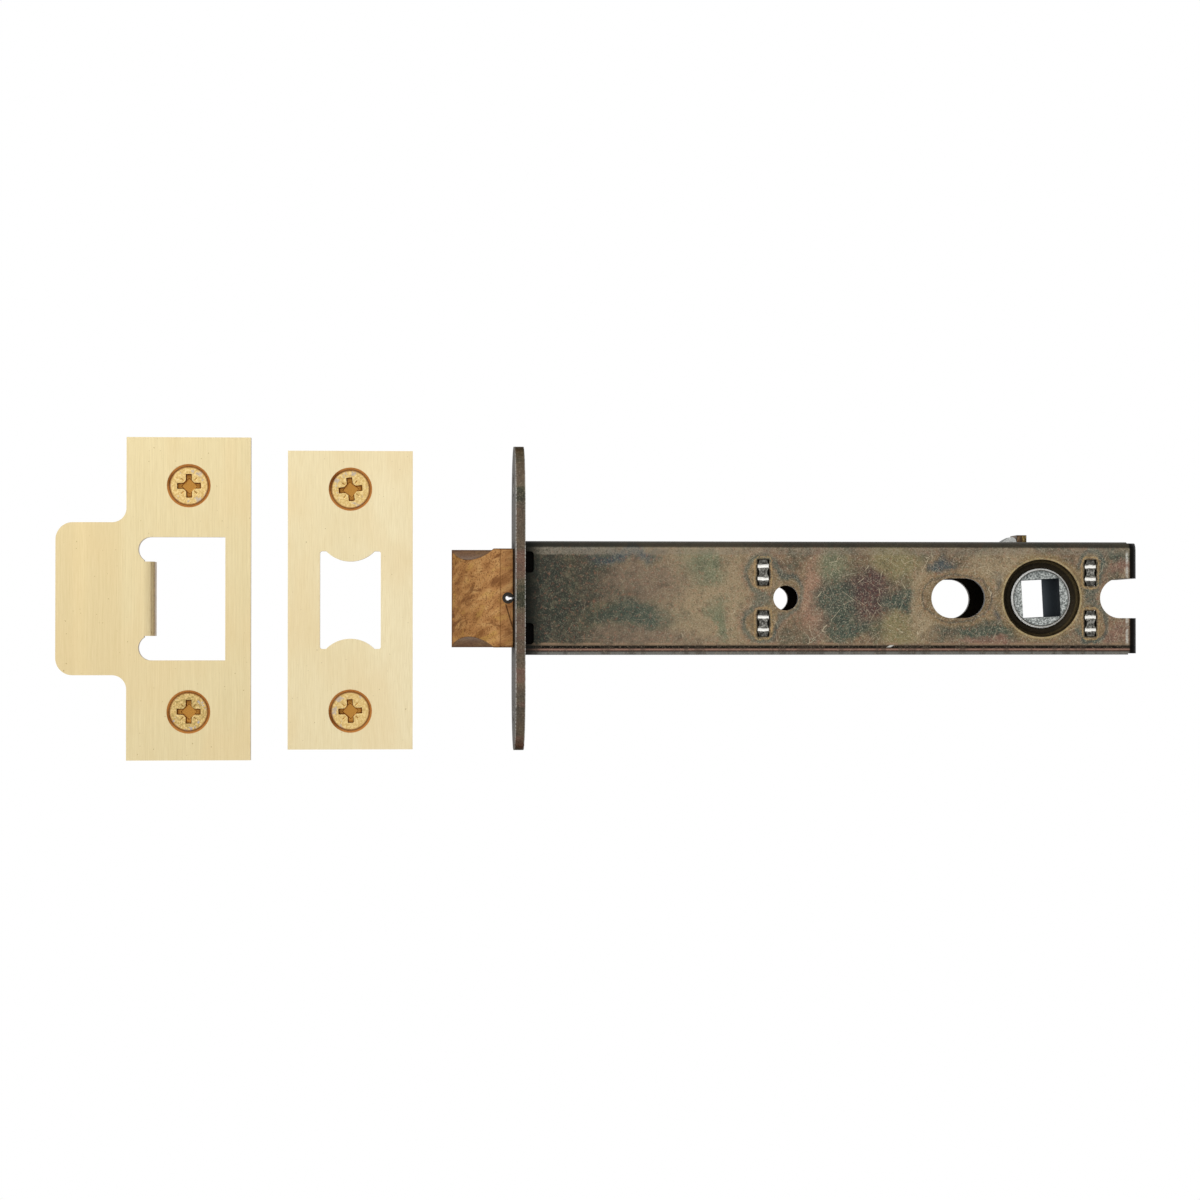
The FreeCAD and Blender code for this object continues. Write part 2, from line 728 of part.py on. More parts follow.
def bolt_tail():
    """The bar that pulls the bolt, with its hook bent towards -Y."""
    body = new_body("bolt_tail")
    front = "(-pin_place - tongue_lead)"
    half = "(tongue_height / 2)"
    path = [
        (front, f"-{half}"),
        ("web_end", f"-{half}"),
        ("web_end", BAND_LOW),
        (HOOK_REAR, BAND_LOW),
        (HOOK_REAR, HOOK_TOP),
        (HOOK_FRONT, HOOK_TOP),
        (HOOK_FRONT, BAND_HIGH),
        ("web_start", BAND_HIGH),
        ("web_start", half),
        (front, half),
    ]
    hole = ("-pin_place", "0", "pin_diameter / 2 + pin_gap")
    face = "(tail_gauge / 2)"
    extrude(body, "Pad", "XZ_Plane", "tail_bar", f"-{face}", face, path, hole)
    hook = box_path(HOOK_FRONT, HOOK_REAR, f"{HOOK_TOP} - hook_height", HOOK_TOP)
    extrude(body, "Pad", "XZ_Plane", "tail_hook", "-hook_reach", face, hook)
    round_edges(body, "hook_fold", "hook_bend", x=HOOK_REAR, y=face)
    return body


# Hub and spacers

def hub():
    """The turning hub: two bosses in the collars, a square hole and one arm."""
    body = new_body("hub", "hub_place")
    end = f"({OUT_Y} - boss_recess)"
    shoulder = f"({OUT_Y} - collar_depth - shoulder_gap)"
    boss = "(boss_diameter / 2)"
    path = [
        ("0", f"-{end}"),
        (f"{boss} - boss_chamfer", f"-{end}"),
        (boss, f"-{end} + boss_chamfer"),
        (boss, f"-{shoulder}"),
        ("barrel_diameter / 2", f"-{shoulder}"),
        ("barrel_diameter / 2", shoulder),
        (boss, shoulder),
        (boss, f"{end} - boss_chamfer"),
        (f"{boss} - boss_chamfer", end),
        ("0", end),
    ]
    turn(body, "Revolution", "hub_barrel", "0", "0", path)
    nose = ("-arm_reach * sin(arm_lean)", "arm_reach * cos(arm_lean)")
    arm = [
        ("-arm_root_front", "0"),
        ("-arm_root_back", "0"),
        (f"-{ARM_END} * sin(arm_lean + arm_span)", f"{ARM_END} * cos(arm_lean + arm_span)"),
        (f"-{ARM_END} * sin(arm_lean)", f"{ARM_END} * cos(arm_lean)", ARM_END, "right"),
        (f"{nose[0]} + arm_nose", nose[1], "arm_nose", "right"),
        (f"{nose[0]} + arm_nose", f"{nose[1]} - arm_flank"),
    ]
    extrude(body, "Pad", "XZ_Plane", "hub_arm", "-arm_offset - arm_width", "-arm_offset", arm)
    half = "(square_size / 2)"
    cosine = "cos(square_turn)"
    sine = "sin(square_turn)"
    square = [
        (f"{half} * ({a}{cosine} - ({b}{sine}))", f"{half} * ({a}{sine} + {b}{cosine})")
        for a, b in (("-", "-"), ("", "-"), ("", ""), ("-", ""))
    ]
    extrude(body, "Pocket", "XZ_Plane", "spindle_hole", f"-{end} - cut_over", f"{end} + cut_over", square)
    return body


def waist_paths():
    """The hollows left in the sides of the tabs, between the marks of the chisel that spread them."""
    face = "(spacer_gauge / 2)"
    paths = []
    for tab in ("-", ""):
        for step in ("- stake_width / 2", "", "+ stake_width / 2"):
            for side, turning in (("-", "right"), ("", "left")):
                level = f"({tab}(stake_pitch / 2) {step})"
                paths.append([
                    (f"{side}({face} + cut_over)", f"{level} - {WAIST_REACH}"),
                    (f"{side}({face} + cut_over)", f"{level} + {WAIST_REACH}"),
                    (f"{side}{face}", f"{level} + {WAIST_REACH}"),
                    (f"{side}{face}", f"{level} - {WAIST_REACH}", WAIST_RADIUS, turning),
                ])
    return paths


def spacer(label, place):
    """A plate across the case, with two tabs staked through each side and a notch for the tail."""
    body = new_body(label, place)
    top = "(spacer_height / 2)"
    end = f"({OUT_Y} + stake_proud)"
    low = "(stake_pitch / 2 - stake_width / 2)"
    high = "(stake_pitch / 2 + stake_width / 2)"
    notch = ("(tail_gauge / 2 + tail_gap)", f"({BAND_LOW} - tail_gap)")
    right = [
        (IN_Y, f"-{top}"),
        (IN_Y, f"-{high}"),
        (end, f"-{high}"),
        (end, f"-{low}"),
        (IN_Y, f"-{low}"),
        (IN_Y, low),
        (end, low),
        (end, high),
        (IN_Y, high),
        (IN_Y, top),
        (notch[0], top),
        notch,
    ]
    left = [(f"-{y}", z) for y, z in reversed(right)]
    half = "(spacer_gauge / 2)"
    extrude(body, "Pad", "YZ_Plane", label + "_plate", f"-{half}", half, right + left)
    marks = []
    for side in ("-", ""):
        for tab in ("-", ""):
            for mark in ("-", "+"):
                level = f"({tab}(stake_pitch / 2) {mark} stake_width / 4)"
                marks.append([
                    (f"{side}({end} + chisel_depth)", f"{level} - chisel_width"),
                    (f"{side}({end} - chisel_depth)", level),
                    (f"{side}({end} + chisel_depth)", f"{level} + chisel_width"),
                ])
    through = (f"-{half} - cut_over", f"{half} + cut_over")
    extrude(body, "Pocket", "YZ_Plane", label + "_chisel", *through, *marks)
    sunk = (f"({OUT_Y} - waist_sink)", f"({end} + cut_over)")
    extrude(body, "Pocket", "XZ_Plane", label + "_near_waists", f"-{sunk[1]}", f"-{sunk[0]}", *waist_paths())
    extrude(body, "Pocket", "XZ_Plane", label + "_far_waists", *sunk, *waist_paths())
    return body


# Springs, wound from wire of flats that runs in short chords

WIRE_FLATS = 8
COIL_CHORDS = 16


def wire_solid(label, points, diameter):
    """A length of wire through a row of points, as one piece."""
    rings = []
    across = (points[1] - points[0]).cross(FreeCAD.Vector(1, 2, 3))
    for index, point in enumerate(points):
        ahead = (points[min(index + 1, len(points) - 1)] - points[max(index - 1, 0)]).normalize()
        across = (across - ahead * across.dot(ahead)).normalize()
        beside = ahead.cross(across)
        corners = []
        for corner in range(WIRE_FLATS + 1):
            angle = 2 * math.pi * corner / WIRE_FLATS
            corners.append(point + (across * math.cos(angle) + beside * math.sin(angle)) * (diameter / 2))
        rings.append(Part.makePolygon(corners))
    piece = doc.addObject("Part::Feature", label)
    piece.Label = label
    piece.Shape = Part.makeLoft(rings, True, True)
    return piece


def bolt_spring():
    """The compression spring between the bolt and the front spacer, closed at both ends."""
    wire = value("bolt_wire")
    radius = value("(bolt_coil - bolt_wire) / 2")
    start = value("bolt_shank + bolt_wire / 2")
    run = value("spacer_front - spacer_gauge / 2 - bolt_wire / 2") - start
    active = value("bolt_turns")
    turns = active + 2
    points = []
    for step in range(round(turns * COIL_CHORDS) + 1):
        wound = step / COIL_CHORDS
        closed = min(wound, 1) + max(wound - turns + 1, 0)
        opened = min(max(wound - 1, 0), active)
        advance = closed * wire + opened * (run - 2 * wire) / active
        angle = 2 * math.pi * wound
        points.append(FreeCAD.Vector(start + advance, radius * math.cos(angle), radius * math.sin(angle)))
    return wire_solid("bolt_spring", points, wire)


def arm_leg_angle(radius):
    """Where a spring leg at this radius lies behind the arm's rear flank, in degrees from +X to +Z."""
    root = FreeCAD.Vector(-value("arm_root_back"), 0, 0)
    tip = [value(f"-{ARM_END} * sin(arm_lean + arm_span)"), value(f"{ARM_END} * cos(arm_lean + arm_span)")]
    flank = (FreeCAD.Vector(*tip, 0) - root).normalize()
    outward = FreeCAD.Vector(-flank.y, flank.x, 0)
    away = outward.dot(root) + value("hub_wire / 2 + hub_leg_gap")
    return math.degrees(math.atan2(outward.y, outward.x) - math.acos(away / radius)) % 360


def hub_spring():
    """The torsion spring that turns the hub back, from the rear spacer to the arm."""
    wire = value("hub_wire")
    radius = value("barrel_diameter / 2 + hub_coil_gap + hub_wire / 2")
    near = value("tail_gauge / 2 + tail_gap + hub_wire / 2")
    turns = value("hub_turns") + ((-90 - arm_leg_angle(radius)) % 360) / 360
    axis = value("hub_place")
    leg_end = value(f"{SPACER_REAR} - spacer_gauge / 2 - hub_leg_gap")
    steps = round(turns * COIL_CHORDS)
    far = near + turns * value("hub_coil_pitch")
    points = [FreeCAD.Vector(leg_end, far, -radius)]
    for step in range(steps + 1):
        wound = turns * step / steps
        angle = math.radians(-90 - 360 * wound)
        level = far - wound * value("hub_coil_pitch")
        points.append(FreeCAD.Vector(axis + radius * math.cos(angle), level, radius * math.sin(angle)))
    last = points[-1]
    points.append(FreeCAD.Vector(last.x, last.y - wire, last.z))
    points.append(FreeCAD.Vector(last.x, -value("arm_offset + arm_width / 2"), last.z))
    return wire_solid("hub_spring", points, wire)


pieces = [
    case_tray(),
    case_half("case_cover", "", "-", False),
    forend(),
    spacer("front_spacer", "spacer_front"),
    spacer("rear_spacer", SPACER_REAR),
    latch_bolt(),
    bolt_pin(),
    bolt_tail(),
    bolt_spring(),
    hub(),
    hub_spring(),
    face_plate(),
    screw_pair("face_plate_screws", "face_plate_place", "-face_plate_drop", "screw_spacing"),
    strike_plate(),
    screw_pair("strike_plate_screws", "strike_place", "0", "strike_screw_spacing"),
]
doc.recompute()

# Nothing is written unless every object came out whole
for thing in doc.Objects:
    if "Invalid" in thing.State or "Error" in thing.State:
        raise RuntimeError(f"{thing.Label} failed: {thing.State}")
for piece in pieces:
    if piece.Shape.isNull() or not piece.Shape.isValid():
        raise RuntimeError(f"{piece.Label} has no sound shape")

os.makedirs("parts", exist_ok=True)
for piece in pieces:
    piece.Shape.exportStep(f"parts/{piece.Label}.step")
    print(f"{piece.Label}: {len(piece.Shape.Solids)} solid(s), {piece.Shape.Volume:.1f} cubic mm")
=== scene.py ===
import json
import math

import bpy
import numpy as np
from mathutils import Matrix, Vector

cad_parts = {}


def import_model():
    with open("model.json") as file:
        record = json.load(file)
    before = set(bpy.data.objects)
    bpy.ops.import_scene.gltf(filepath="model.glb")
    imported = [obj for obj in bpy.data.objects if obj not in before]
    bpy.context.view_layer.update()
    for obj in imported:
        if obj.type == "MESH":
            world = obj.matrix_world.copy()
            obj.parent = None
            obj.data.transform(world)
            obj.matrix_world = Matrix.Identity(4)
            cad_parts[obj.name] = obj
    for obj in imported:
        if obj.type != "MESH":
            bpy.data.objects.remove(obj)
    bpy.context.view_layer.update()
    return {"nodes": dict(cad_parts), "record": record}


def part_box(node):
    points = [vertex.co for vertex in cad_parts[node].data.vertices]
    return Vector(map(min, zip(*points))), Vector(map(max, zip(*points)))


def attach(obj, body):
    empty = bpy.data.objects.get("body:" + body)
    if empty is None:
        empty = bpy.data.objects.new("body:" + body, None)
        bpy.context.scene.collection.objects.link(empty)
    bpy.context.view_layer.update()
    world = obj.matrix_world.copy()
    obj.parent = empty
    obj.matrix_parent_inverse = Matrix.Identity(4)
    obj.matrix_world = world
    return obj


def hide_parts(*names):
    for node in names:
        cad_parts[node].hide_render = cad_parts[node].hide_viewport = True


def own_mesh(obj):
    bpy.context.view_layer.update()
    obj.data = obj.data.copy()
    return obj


# Looks for a tubular door latch with its face plate, strike plate and screws.
# Meshes are in metres and patterns are in millimetres. Every pattern is fixed to the object, so a piece
# keeps its stains and scratches as it moves.

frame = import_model()
MM = 0.001
CASE = "case"
JOINTS = {joint["name"]: joint for joint in frame["record"]["behaviour"]["joints"]}


# Landmarks of the solids, in millimetres

def box_mm(node):
    """A node's lowest and highest corners at rest, in millimetres."""
    return [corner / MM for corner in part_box(node)]


def screw_places(node):
    """Where a plate's two screws stand, the lower one first, in metres."""
    low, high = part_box(node)
    head = (high.x - low.x) / 2
    return [(low.x + head, low.z + head), (low.x + head, high.z - head)]


CASE_REAR, CASE_SIDE = box_mm("case_tray")[1].xy
FOREND_BACK = box_mm("forend")[1].x
BOLT_TIP = box_mm("latch_bolt")[0].x
BOLT_SIDE, BOLT_TOP = box_mm("latch_bolt")[1].yz
TAIL_REAR, TAIL_TOP = box_mm("bolt_tail")[1].xz
HUB_X = JOINTS["hub_turn"]["pos_m"][0] / MM
HUB_END = box_mm("hub")[1].y
PLATE_FRONT, PLATE_BACK = [corner.y for corner in box_mm("face_plate")]
HEAD_LOW, HEAD_HIGH = box_mm("face_plate_screws")
HEAD_TOP = HEAD_LOW.y
HEAD_RADIUS = (HEAD_HIGH.x - HEAD_LOW.x) / 2
RECESS_REACH, SINK_REACH = 2.62, 4.6
BETWEEN_PLATES_X, FACE_RIGHT_X, LIP_X = -50.0, -34.0, -78.0
STAKE_Z = 5.1
STAKES = [
    (sum(corner.x for corner in box_mm(node)) / 2, z)
    for node in ("front_spacer", "rear_spacer") for z in (-STAKE_Z, STAKE_Z)
]
SINKS = [
    (x / MM, z / MM)
    for node in ("face_plate_screws", "strike_plate_screws") for x, z in screw_places(node)
]
SPOTTED_SINK = SINKS[2]
FIXING_X = 54.2
SLOT_X, SLOT_HALF_LENGTH, SLOT_HALF_HEIGHT = 89.05, 5.45, 4.0
COLLAR_RADIUS = 8.0
HUB_FACE_RADIUS = 5.6
TOP_LINE = 9.4
SEAM_LOW, SEAM_HIGH = -11.4, -9.0
INSIDE_X, INSIDE_HALF_LENGTH, INSIDE_HALF_HEIGHT = 63.0, 61.2, 9.7
STAKE_HALF_WIDTH, STAKE_HALF_HEIGHT = 0.7, 2.15
CHISEL_HEIGHT = 1.275
NICK_X, NICK_Z, NICK_SLOPE = 75.26, -9.65, 1.6
HOOK_SIDE = -1.4
BOLT_NECK = -2.8
HOLLOW_Z, HOLLOW_RADIUS = 14.8, 7.06
PIN_SCRATCH_X, PIN_SCRATCH_Z, PIN_SCRATCH_SLANT = -2.1, -3.6, 0.3


def tone(red, green, blue):
    """A screen colour of 0 to 255 as the linear colour that a shader takes."""
    parts = [part / 255 for part in (red, green, blue)]
    return tuple(p / 12.92 if p <= 0.04045 else ((p + 0.055) / 1.055) ** 2.4 for p in parts) + (1.0,)


def set_stops(ramp, stops):
    """Give a colour ramp its stops, each a place and a colour."""
    points = ramp.elements
    while len(points) < len(stops):
        points.new(0.5)
    for point, (place, colour) in zip(points, stops):
        point.position = place
        point.color = colour


class Paint:
    """A procedural material, put together from named steps. Lengths are in millimetres."""

    def __init__(self, name, metallic=1.0, roughness=0.4):
        self.material = bpy.data.materials.new(name)
        self.material.use_nodes = True
        self.tree = self.material.node_tree
        self.shader = self.tree.nodes["Principled BSDF"]
        self.shader.inputs["Metallic"].default_value = metallic
        self.shader.inputs["Roughness"].default_value = roughness
        coordinates = self.node("ShaderNodeTexCoord").outputs["Object"]
        scaled = self.node("ShaderNodeVectorMath", operation="SCALE")
        self.feed(scaled.inputs[0], coordinates)
        scaled.inputs["Scale"].default_value = 1 / MM
        self.place = scaled.outputs[0]
        axes = self.node("ShaderNodeSeparateXYZ")
        self.feed(axes.inputs[0], self.place)
        self.x, self.y, self.z = axes.outputs

    def node(self, kind, **settings):
        made = self.tree.nodes.new(kind)
        for name, setting in settings.items():
            setattr(made, name, setting)
        return made

    def feed(self, socket, source):
        """Link an output to a socket, or set the socket to a plain value."""
        if isinstance(source, bpy.types.NodeSocket):
            self.tree.links.new(source, socket)
        else:
            socket.default_value = source

    def give(self, name, source):
        self.feed(self.shader.inputs[name], source)

    def calc(self, operation, *values):
        made = self.node("ShaderNodeMath", operation=operation)
        for socket, value in zip(made.inputs, values):
            self.feed(socket, value)
        return made.outputs[0]

    def times(self, first, second):
        return self.calc("MULTIPLY", first, second)

    def most(self, first, second):
        return self.calc("MAXIMUM", first, second)

    def apart(self, source, middle):
        """How far a value lies from a middle, to either side."""
        return self.calc("ABSOLUTE", self.calc("SUBTRACT", source, middle))

    def length(self, across, upright):
        """The length of a line that goes so far across and so far up."""
        squares = [self.calc("POWER", part, 2.0) for part in (across, upright)]
        return self.calc("SQRT", self.calc("ADD", *squares))

    def away(self, x, z):
        """Distance across the face from a place."""
        return self.length(self.calc("SUBTRACT", self.x, x), self.calc("SUBTRACT", self.z, z))

    def fade(self, source, low, high, start=0.0, end=1.0):
        """A smooth rise from start to end while the source goes from low to high."""
        made = self.node("ShaderNodeMapRange", interpolation_type="SMOOTHSTEP")
        for socket, value in zip(made.inputs, (source, low, high, start, end)):
            self.feed(socket, value)
        return made.outputs[0]

    def level(self, source, low, high):
        """Where the source stands between low and high, from 0 to 1."""
        made = self.node("ShaderNodeMapRange")
        for socket, value in zip(made.inputs, (source, low, high)):
            self.feed(socket, value)
        return made.outputs[0]

    def band(self, source, middle, half, soft):
        """1 within half of the middle, fading out over soft."""
        return self.fade(self.apart(source, middle), half, half + soft, 1.0, 0.0)

    def moved(self, stretch, turn, shift):
        """The place on the object, turned about Y by degrees, then stretched."""
        turned = self.node("ShaderNodeMapping")
        self.feed(turned.inputs["Vector"], self.place)
        turned.inputs["Rotation"].default_value = (0, math.radians(turn), 0)
        made = self.node("ShaderNodeMapping")
        self.feed(made.inputs["Vector"], turned.outputs[0])
        made.inputs["Scale"].default_value = stretch
        made.inputs["Location"].default_value = shift
        return made.outputs[0]

    def noise(
        self, size, stretch=(1, 1, 1), detail=3.0, rough=0.55, twist=0.0, turn=0.0, shift=(0, 0, 0),
    ):
        """Noise with patches about this size."""
        made = self.node("ShaderNodeTexNoise")
        self.feed(made.inputs["Vector"], self.moved(stretch, turn, shift))
        made.inputs["Scale"].default_value = 1 / size
        made.inputs["Detail"].default_value = detail
        made.inputs["Roughness"].default_value = rough
        made.inputs["Distortion"].default_value = twist
        return made.outputs["Fac"]

    def ramp(self, source, *stops):
        made = self.node("ShaderNodeValToRGB")
        self.feed(made.inputs[0], source)
        set_stops(made.color_ramp, stops)
        return made.outputs[0]

    def mix(self, share, first, second, kind="MIX"):
        made = self.node("ShaderNodeMix", data_type="RGBA", blend_type=kind)
        sockets = (made.inputs[0], made.inputs[6], made.inputs[7])
        for socket, value in zip(sockets, (share, first, second)):
            self.feed(socket, value)
        return made.outputs[2]

    def shaded(self, colour, shade):
        """A colour with each part of it weighed by a shade."""
        return self.mix(1.0, colour, shade, "MULTIPLY")

    def bump(self, height, depth, strength):
        made = self.node("ShaderNodeBump")
        made.inputs["Strength"].default_value = strength
        made.inputs["Distance"].default_value = depth * MM
        self.feed(made.inputs["Height"], height)
        self.give("Normal", made.outputs[0])

    def scratches(self, *runs):
        """Fine lines: each run is (direction in degrees, length, width, how few)."""
        total = 0.0
        for turn, length, width, few in runs:
            stretch = (1 / length, 0.4, 1 / width)
            line = self.noise(1.0, stretch, 2.0, 0.6, 0.15, turn, (turn, 0, 3 * turn))
            total = self.most(self.fade(line, few, few + 0.06), total)
        return total

    def hairs(self, size, width):
        """Broken hairlines that bend: the borders of wandering cells, seen only in places."""
        drift = 0.5 * size
        bend = self.node("ShaderNodeTexNoise")
        self.feed(bend.inputs["Vector"], self.place)
        bend.inputs["Scale"].default_value = 1 / size
        strayed = self.node("ShaderNodeVectorMath", operation="MULTIPLY_ADD")
        self.feed(strayed.inputs[0], bend.outputs["Color"])
        self.feed(strayed.inputs[1], (drift, drift, drift))
        self.feed(strayed.inputs[2], self.place)
        cells = self.node("ShaderNodeTexVoronoi", feature="DISTANCE_TO_EDGE")
        self.feed(cells.inputs["Vector"], strayed.outputs[0])
        cells.inputs["Scale"].default_value = 1 / size
        line = self.fade(cells.outputs["Distance"], width / size, 0.4 * width / size)
        return self.times(line, self.fade(self.noise(3.0, shift=(size, 0, size)), 0.54, 0.62))


def put(paint, *nodes):
    """Give CAD nodes a material."""
    for name in nodes:
        mesh = frame["nodes"][name].data
        mesh.materials.clear()
        mesh.materials.append(paint.material)


# Passivated steel: case, forend and bolt tail

EDGE_TINT = (0.25, 0.25, 0.25, 1.0)
FOREND_SHADE = (0.72, 0.73, 0.74, 1.0)
CASE_SHADE = (0.89, 0.91, 0.93, 1.0)

# The tints that passivated steel takes, and SHADOW, which is painted shade
STRAW = tone(160, 140, 110)
GOLD = tone(142, 130, 94)
OLIVE = tone(120, 122, 96)
UMBER = tone(126, 108, 90)
RUST = tone(140, 108, 92)
FLUSH = tone(162, 126, 104)
PLUM = tone(88, 68, 66)
SLATE = tone(80, 88, 90)
MOSS = tone(74, 84, 74)
SHADOW = tone(50, 55, 50)

# Stains on the case: middle, half width and half height, all in millimetres, and tint. The SHADOW entry is
# painted shade at the front, not a stain
STAINS = [
    (38.5, 0.0, 11.0, 16.0, STRAW),
    (38.0, 6.2, 4.0, 3.6, OLIVE),
    (40.5, -5.0, 1.8, 4.0, OLIVE),
    (26.0, 3.4, 9.0, 4.8, UMBER),
    (24.0, -8.2, 15.0, 2.6, UMBER),
    (21.0, 8.8, 8.0, 1.5, SLATE),
    (24.0, -3.6, 10.5, 3.0, MOSS),
    # Painted shade at the front, next to the forend
    (3.0, 0.0, 16.0, 17.0, SHADOW),
    (60.5, 0.0, 3.0, 9.0, FLUSH),
    (64.5, 6.0, 4.2, 3.2, OLIVE),
    (65.5, -1.0, 4.6, 5.2, MOSS),
    (67.5, -6.4, 7.0, 2.6, MOSS),
    (71.5, 1.2, 5.0, 6.4, PLUM),
    (77.0, -0.6, 3.4, 3.2, MOSS),
    (76.0, -6.6, 4.6, 3.2, GOLD),
    (76.0, 7.6, 5.0, 2.8, GOLD),
    (82.0, -1.0, 3.0, 9.0, STRAW),
    (85.8, 6.9, 3.2, 1.6, SLATE),
    (97.0, 5.6, 6.5, 4.8, STRAW),
    (97.5, 0.0, 1.5, 4.6, SLATE),
    (94.0, -6.9, 8.5, 2.2, MOSS),
    (96.0, -9.2, 8.0, 1.4, RUST),
    (119.5, 7.2, 6.0, 3.2, MOSS),
    (122.0, 6.0, 2.0, 2.2, RUST),
    (117.5, -7.8, 6.0, 1.8, MOSS),
    (121.5, -6.2, 3.5, 2.2, RUST),
]


def steel(name):
    """The start of every passivated piece: patches of tint that run into each other."""
    paint = Paint(name)
    patch = paint.noise(8.0, (1, 1, 1.2), 4.0, 0.6, 0.8, 0.0, (3.1, 0, 7.7))
    colour = paint.ramp(
        patch,
        (0.28, tone(88, 92, 80)), (0.4, tone(106, 96, 78)), (0.48, tone(130, 108, 86)),
        (0.56, tone(142, 124, 94)), (0.64, tone(120, 114, 86)), (0.74, tone(94, 98, 86)),
    )
    return paint, colour


def grain_over(paint, colour, pale, dark):
    """Mottling, then fine pale and dark grains, which also set how rough the steel is."""
    mottle = paint.noise(1.5, detail=3.0, rough=0.65, shift=(8, 0, 3))
    colour = paint.mix(paint.fade(mottle, 0.5, 0.7, 0.0, 0.16), colour, tone(168, 150, 118))
    colour = paint.mix(paint.fade(mottle, 0.5, 0.3, 0.0, 0.3), colour, tone(52, 51, 46))
    grain = paint.noise(0.26, detail=2.0, rough=0.7)
    colour = paint.mix(paint.fade(grain, 0.52, 0.74, 0.0, pale), colour, tone(200, 188, 162))
    colour = paint.mix(paint.fade(grain, 0.48, 0.26, 0.0, dark), colour, tone(38, 37, 34))
    paint.give("Roughness", paint.fade(grain, 0.2, 0.8, 0.36, 0.52))
    paint.bump(grain, 0.015, 0.4)
    return colour, grain


def oval(paint, x, z, wide, high, place):
    """How far a place lies from the middle of an oval: 1 on its edge."""
    across = paint.times(paint.calc("SUBTRACT", place[0], x), 1 / wide)
    upright = paint.times(paint.calc("SUBTRACT", place[1], z), 1 / high)
    return paint.length(across, upright)


def drifted(paint, reach, fine):
    """Places on the face, drifted by slow and by fine noise, so that borders wander."""
    places = []
    for source, shift in ((paint.x, (0, 0, 0)), (paint.z, (31, 0, 17))):
        slow = paint.noise(7.0, detail=2.0, rough=0.5, shift=shift)
        quick = paint.noise(0.7, detail=2.0, shift=shift)
        moved = paint.calc("MULTIPLY_ADD", paint.calc("SUBTRACT", slow, 0.5), reach, source)
        places.append(paint.calc("MULTIPLY_ADD", paint.calc("SUBTRACT", quick, 0.5), fine, moved))
    return places


def flowing_stains(paint, colour):
    """The stains, and the painted shade at the front, with wandering borders."""
    place = drifted(paint, 9.0, 1.6)
    for x, z, wide, high, stain in STAINS:
        reach = oval(paint, x, z, wide, high, place)
        colour = paint.mix(paint.fade(reach, 0.42, 1.45, 0.92, 0.0), colour, stain)
    return colour


def halos(paint, colour):
    """Rings of colour round the stakes, the fixing hole, the slot and the hub, and a painted highlight on the
    collar.
    """
    place = drifted(paint, 4.5, 0.9)
    nearest = paint.calc("SUBTRACT", oval(paint, FIXING_X, 0.0, 1.0, 1.0, place), 0.4)
    for x, z in STAKES:
        nearest = paint.calc("SMOOTH_MIN", nearest, oval(paint, x, z, 1.0, 1.35, place), 4.0)
    halo = paint.ramp(
        paint.level(nearest, -1.0, 5.5),
        (0.0, tone(124, 106, 78)), (0.36, tone(134, 112, 82)), (0.5, tone(148, 122, 90)),
        (0.58, tone(86, 94, 86)), (0.65, tone(92, 98, 90)), (0.76, tone(156, 122, 98)),
        (0.9, tone(146, 118, 96)),
    )
    colour = paint.mix(paint.fade(nearest, 3.0, 5.2, 0.65, 0.0), colour, halo)
    slot = oval(paint, SLOT_X, 0.0, SLOT_HALF_LENGTH, SLOT_HALF_HEIGHT, place)
    rim = paint.ramp(
        paint.fade(slot, 0.9, 1.8),
        (0.0, tone(126, 106, 78)), (0.3, tone(136, 112, 84)), (0.42, tone(92, 84, 72)),
        (0.56, tone(150, 124, 92)),
    )
    colour = paint.mix(paint.fade(slot, 1.35, 1.75, 0.8, 0.0), colour, rim)
    ring = oval(paint, HUB_X, 0.0, 1.0, 1.0, place)
    ring = paint.fade(ring, COLLAR_RADIUS + 0.4, COLLAR_RADIUS + 1.6, 0.75, 0.0)
    colour = paint.mix(ring, colour, tone(146, 122, 86))
    # Painted highlight: a broken pale line on the lip of the collar round the hub.
    collar = paint.band(paint.away(HUB_X, 0.0), COLLAR_RADIUS, 0.08, 0.16)
    collar_highlight = paint.times(collar, paint.noise(1.6, shift=(0, 0, 6)))
    return paint.mix(collar_highlight, colour, tone(200, 178, 128))


def case_scratches(paint, colour):
    """Pale scratches and hairlines, more of them towards the rear."""
    lines = paint.scratches(
        (62, 6.0, 0.11, 0.68), (-35, 8.0, 0.12, 0.68), (15, 6.0, 0.11, 0.69), (100, 5.0, 0.11, 0.69),
    )
    lines = paint.most(lines, paint.most(paint.hairs(9.0, 0.05), paint.hairs(6.5, 0.04)))
    lines = paint.times(lines, paint.fade(paint.x, 20.0, 66.0, 0.15, 0.6))
    return paint.mix(lines, colour, tone(220, 204, 172))


def stake_cracks(paint, colour, grain):
    """Painted shade, black, in the cracks round the stakes, with a pale line of wear just outside."""
    wobble = paint.calc("MULTIPLY_ADD", paint.noise(0.9, detail=2.0, shift=(1, 0, 4)), 0.7, -0.35)
    for x, z in STAKES:
        aside = paint.calc("SUBTRACT", paint.apart(paint.x, x), STAKE_HALF_WIDTH)
        above = paint.calc("SUBTRACT", paint.apart(paint.z, z), STAKE_HALF_HEIGHT)
        outside = paint.length(paint.most(aside, 0.0), paint.most(above, 0.0))
        crack = paint.calc("ADD", outside, wobble)
        wear_and_highlight = paint.times(paint.band(crack, 0.98, 0.05, 0.16), paint.fade(grain, 0.38, 0.58, 0.1, 0.75))
        colour = paint.mix(wear_and_highlight, colour, tone(184, 152, 104))
        ends = paint.fade(paint.calc("ADD", above, wobble), -0.9, 0.1, 0.9, 0.5)
        # Painted shade: black in the gaps beside each tab.
        black = paint.times(paint.fade(crack, 0.5, 0.8, 1.0, 0.0), ends)
        colour = paint.mix(black, colour, tone(30, 28, 24))
    return colour


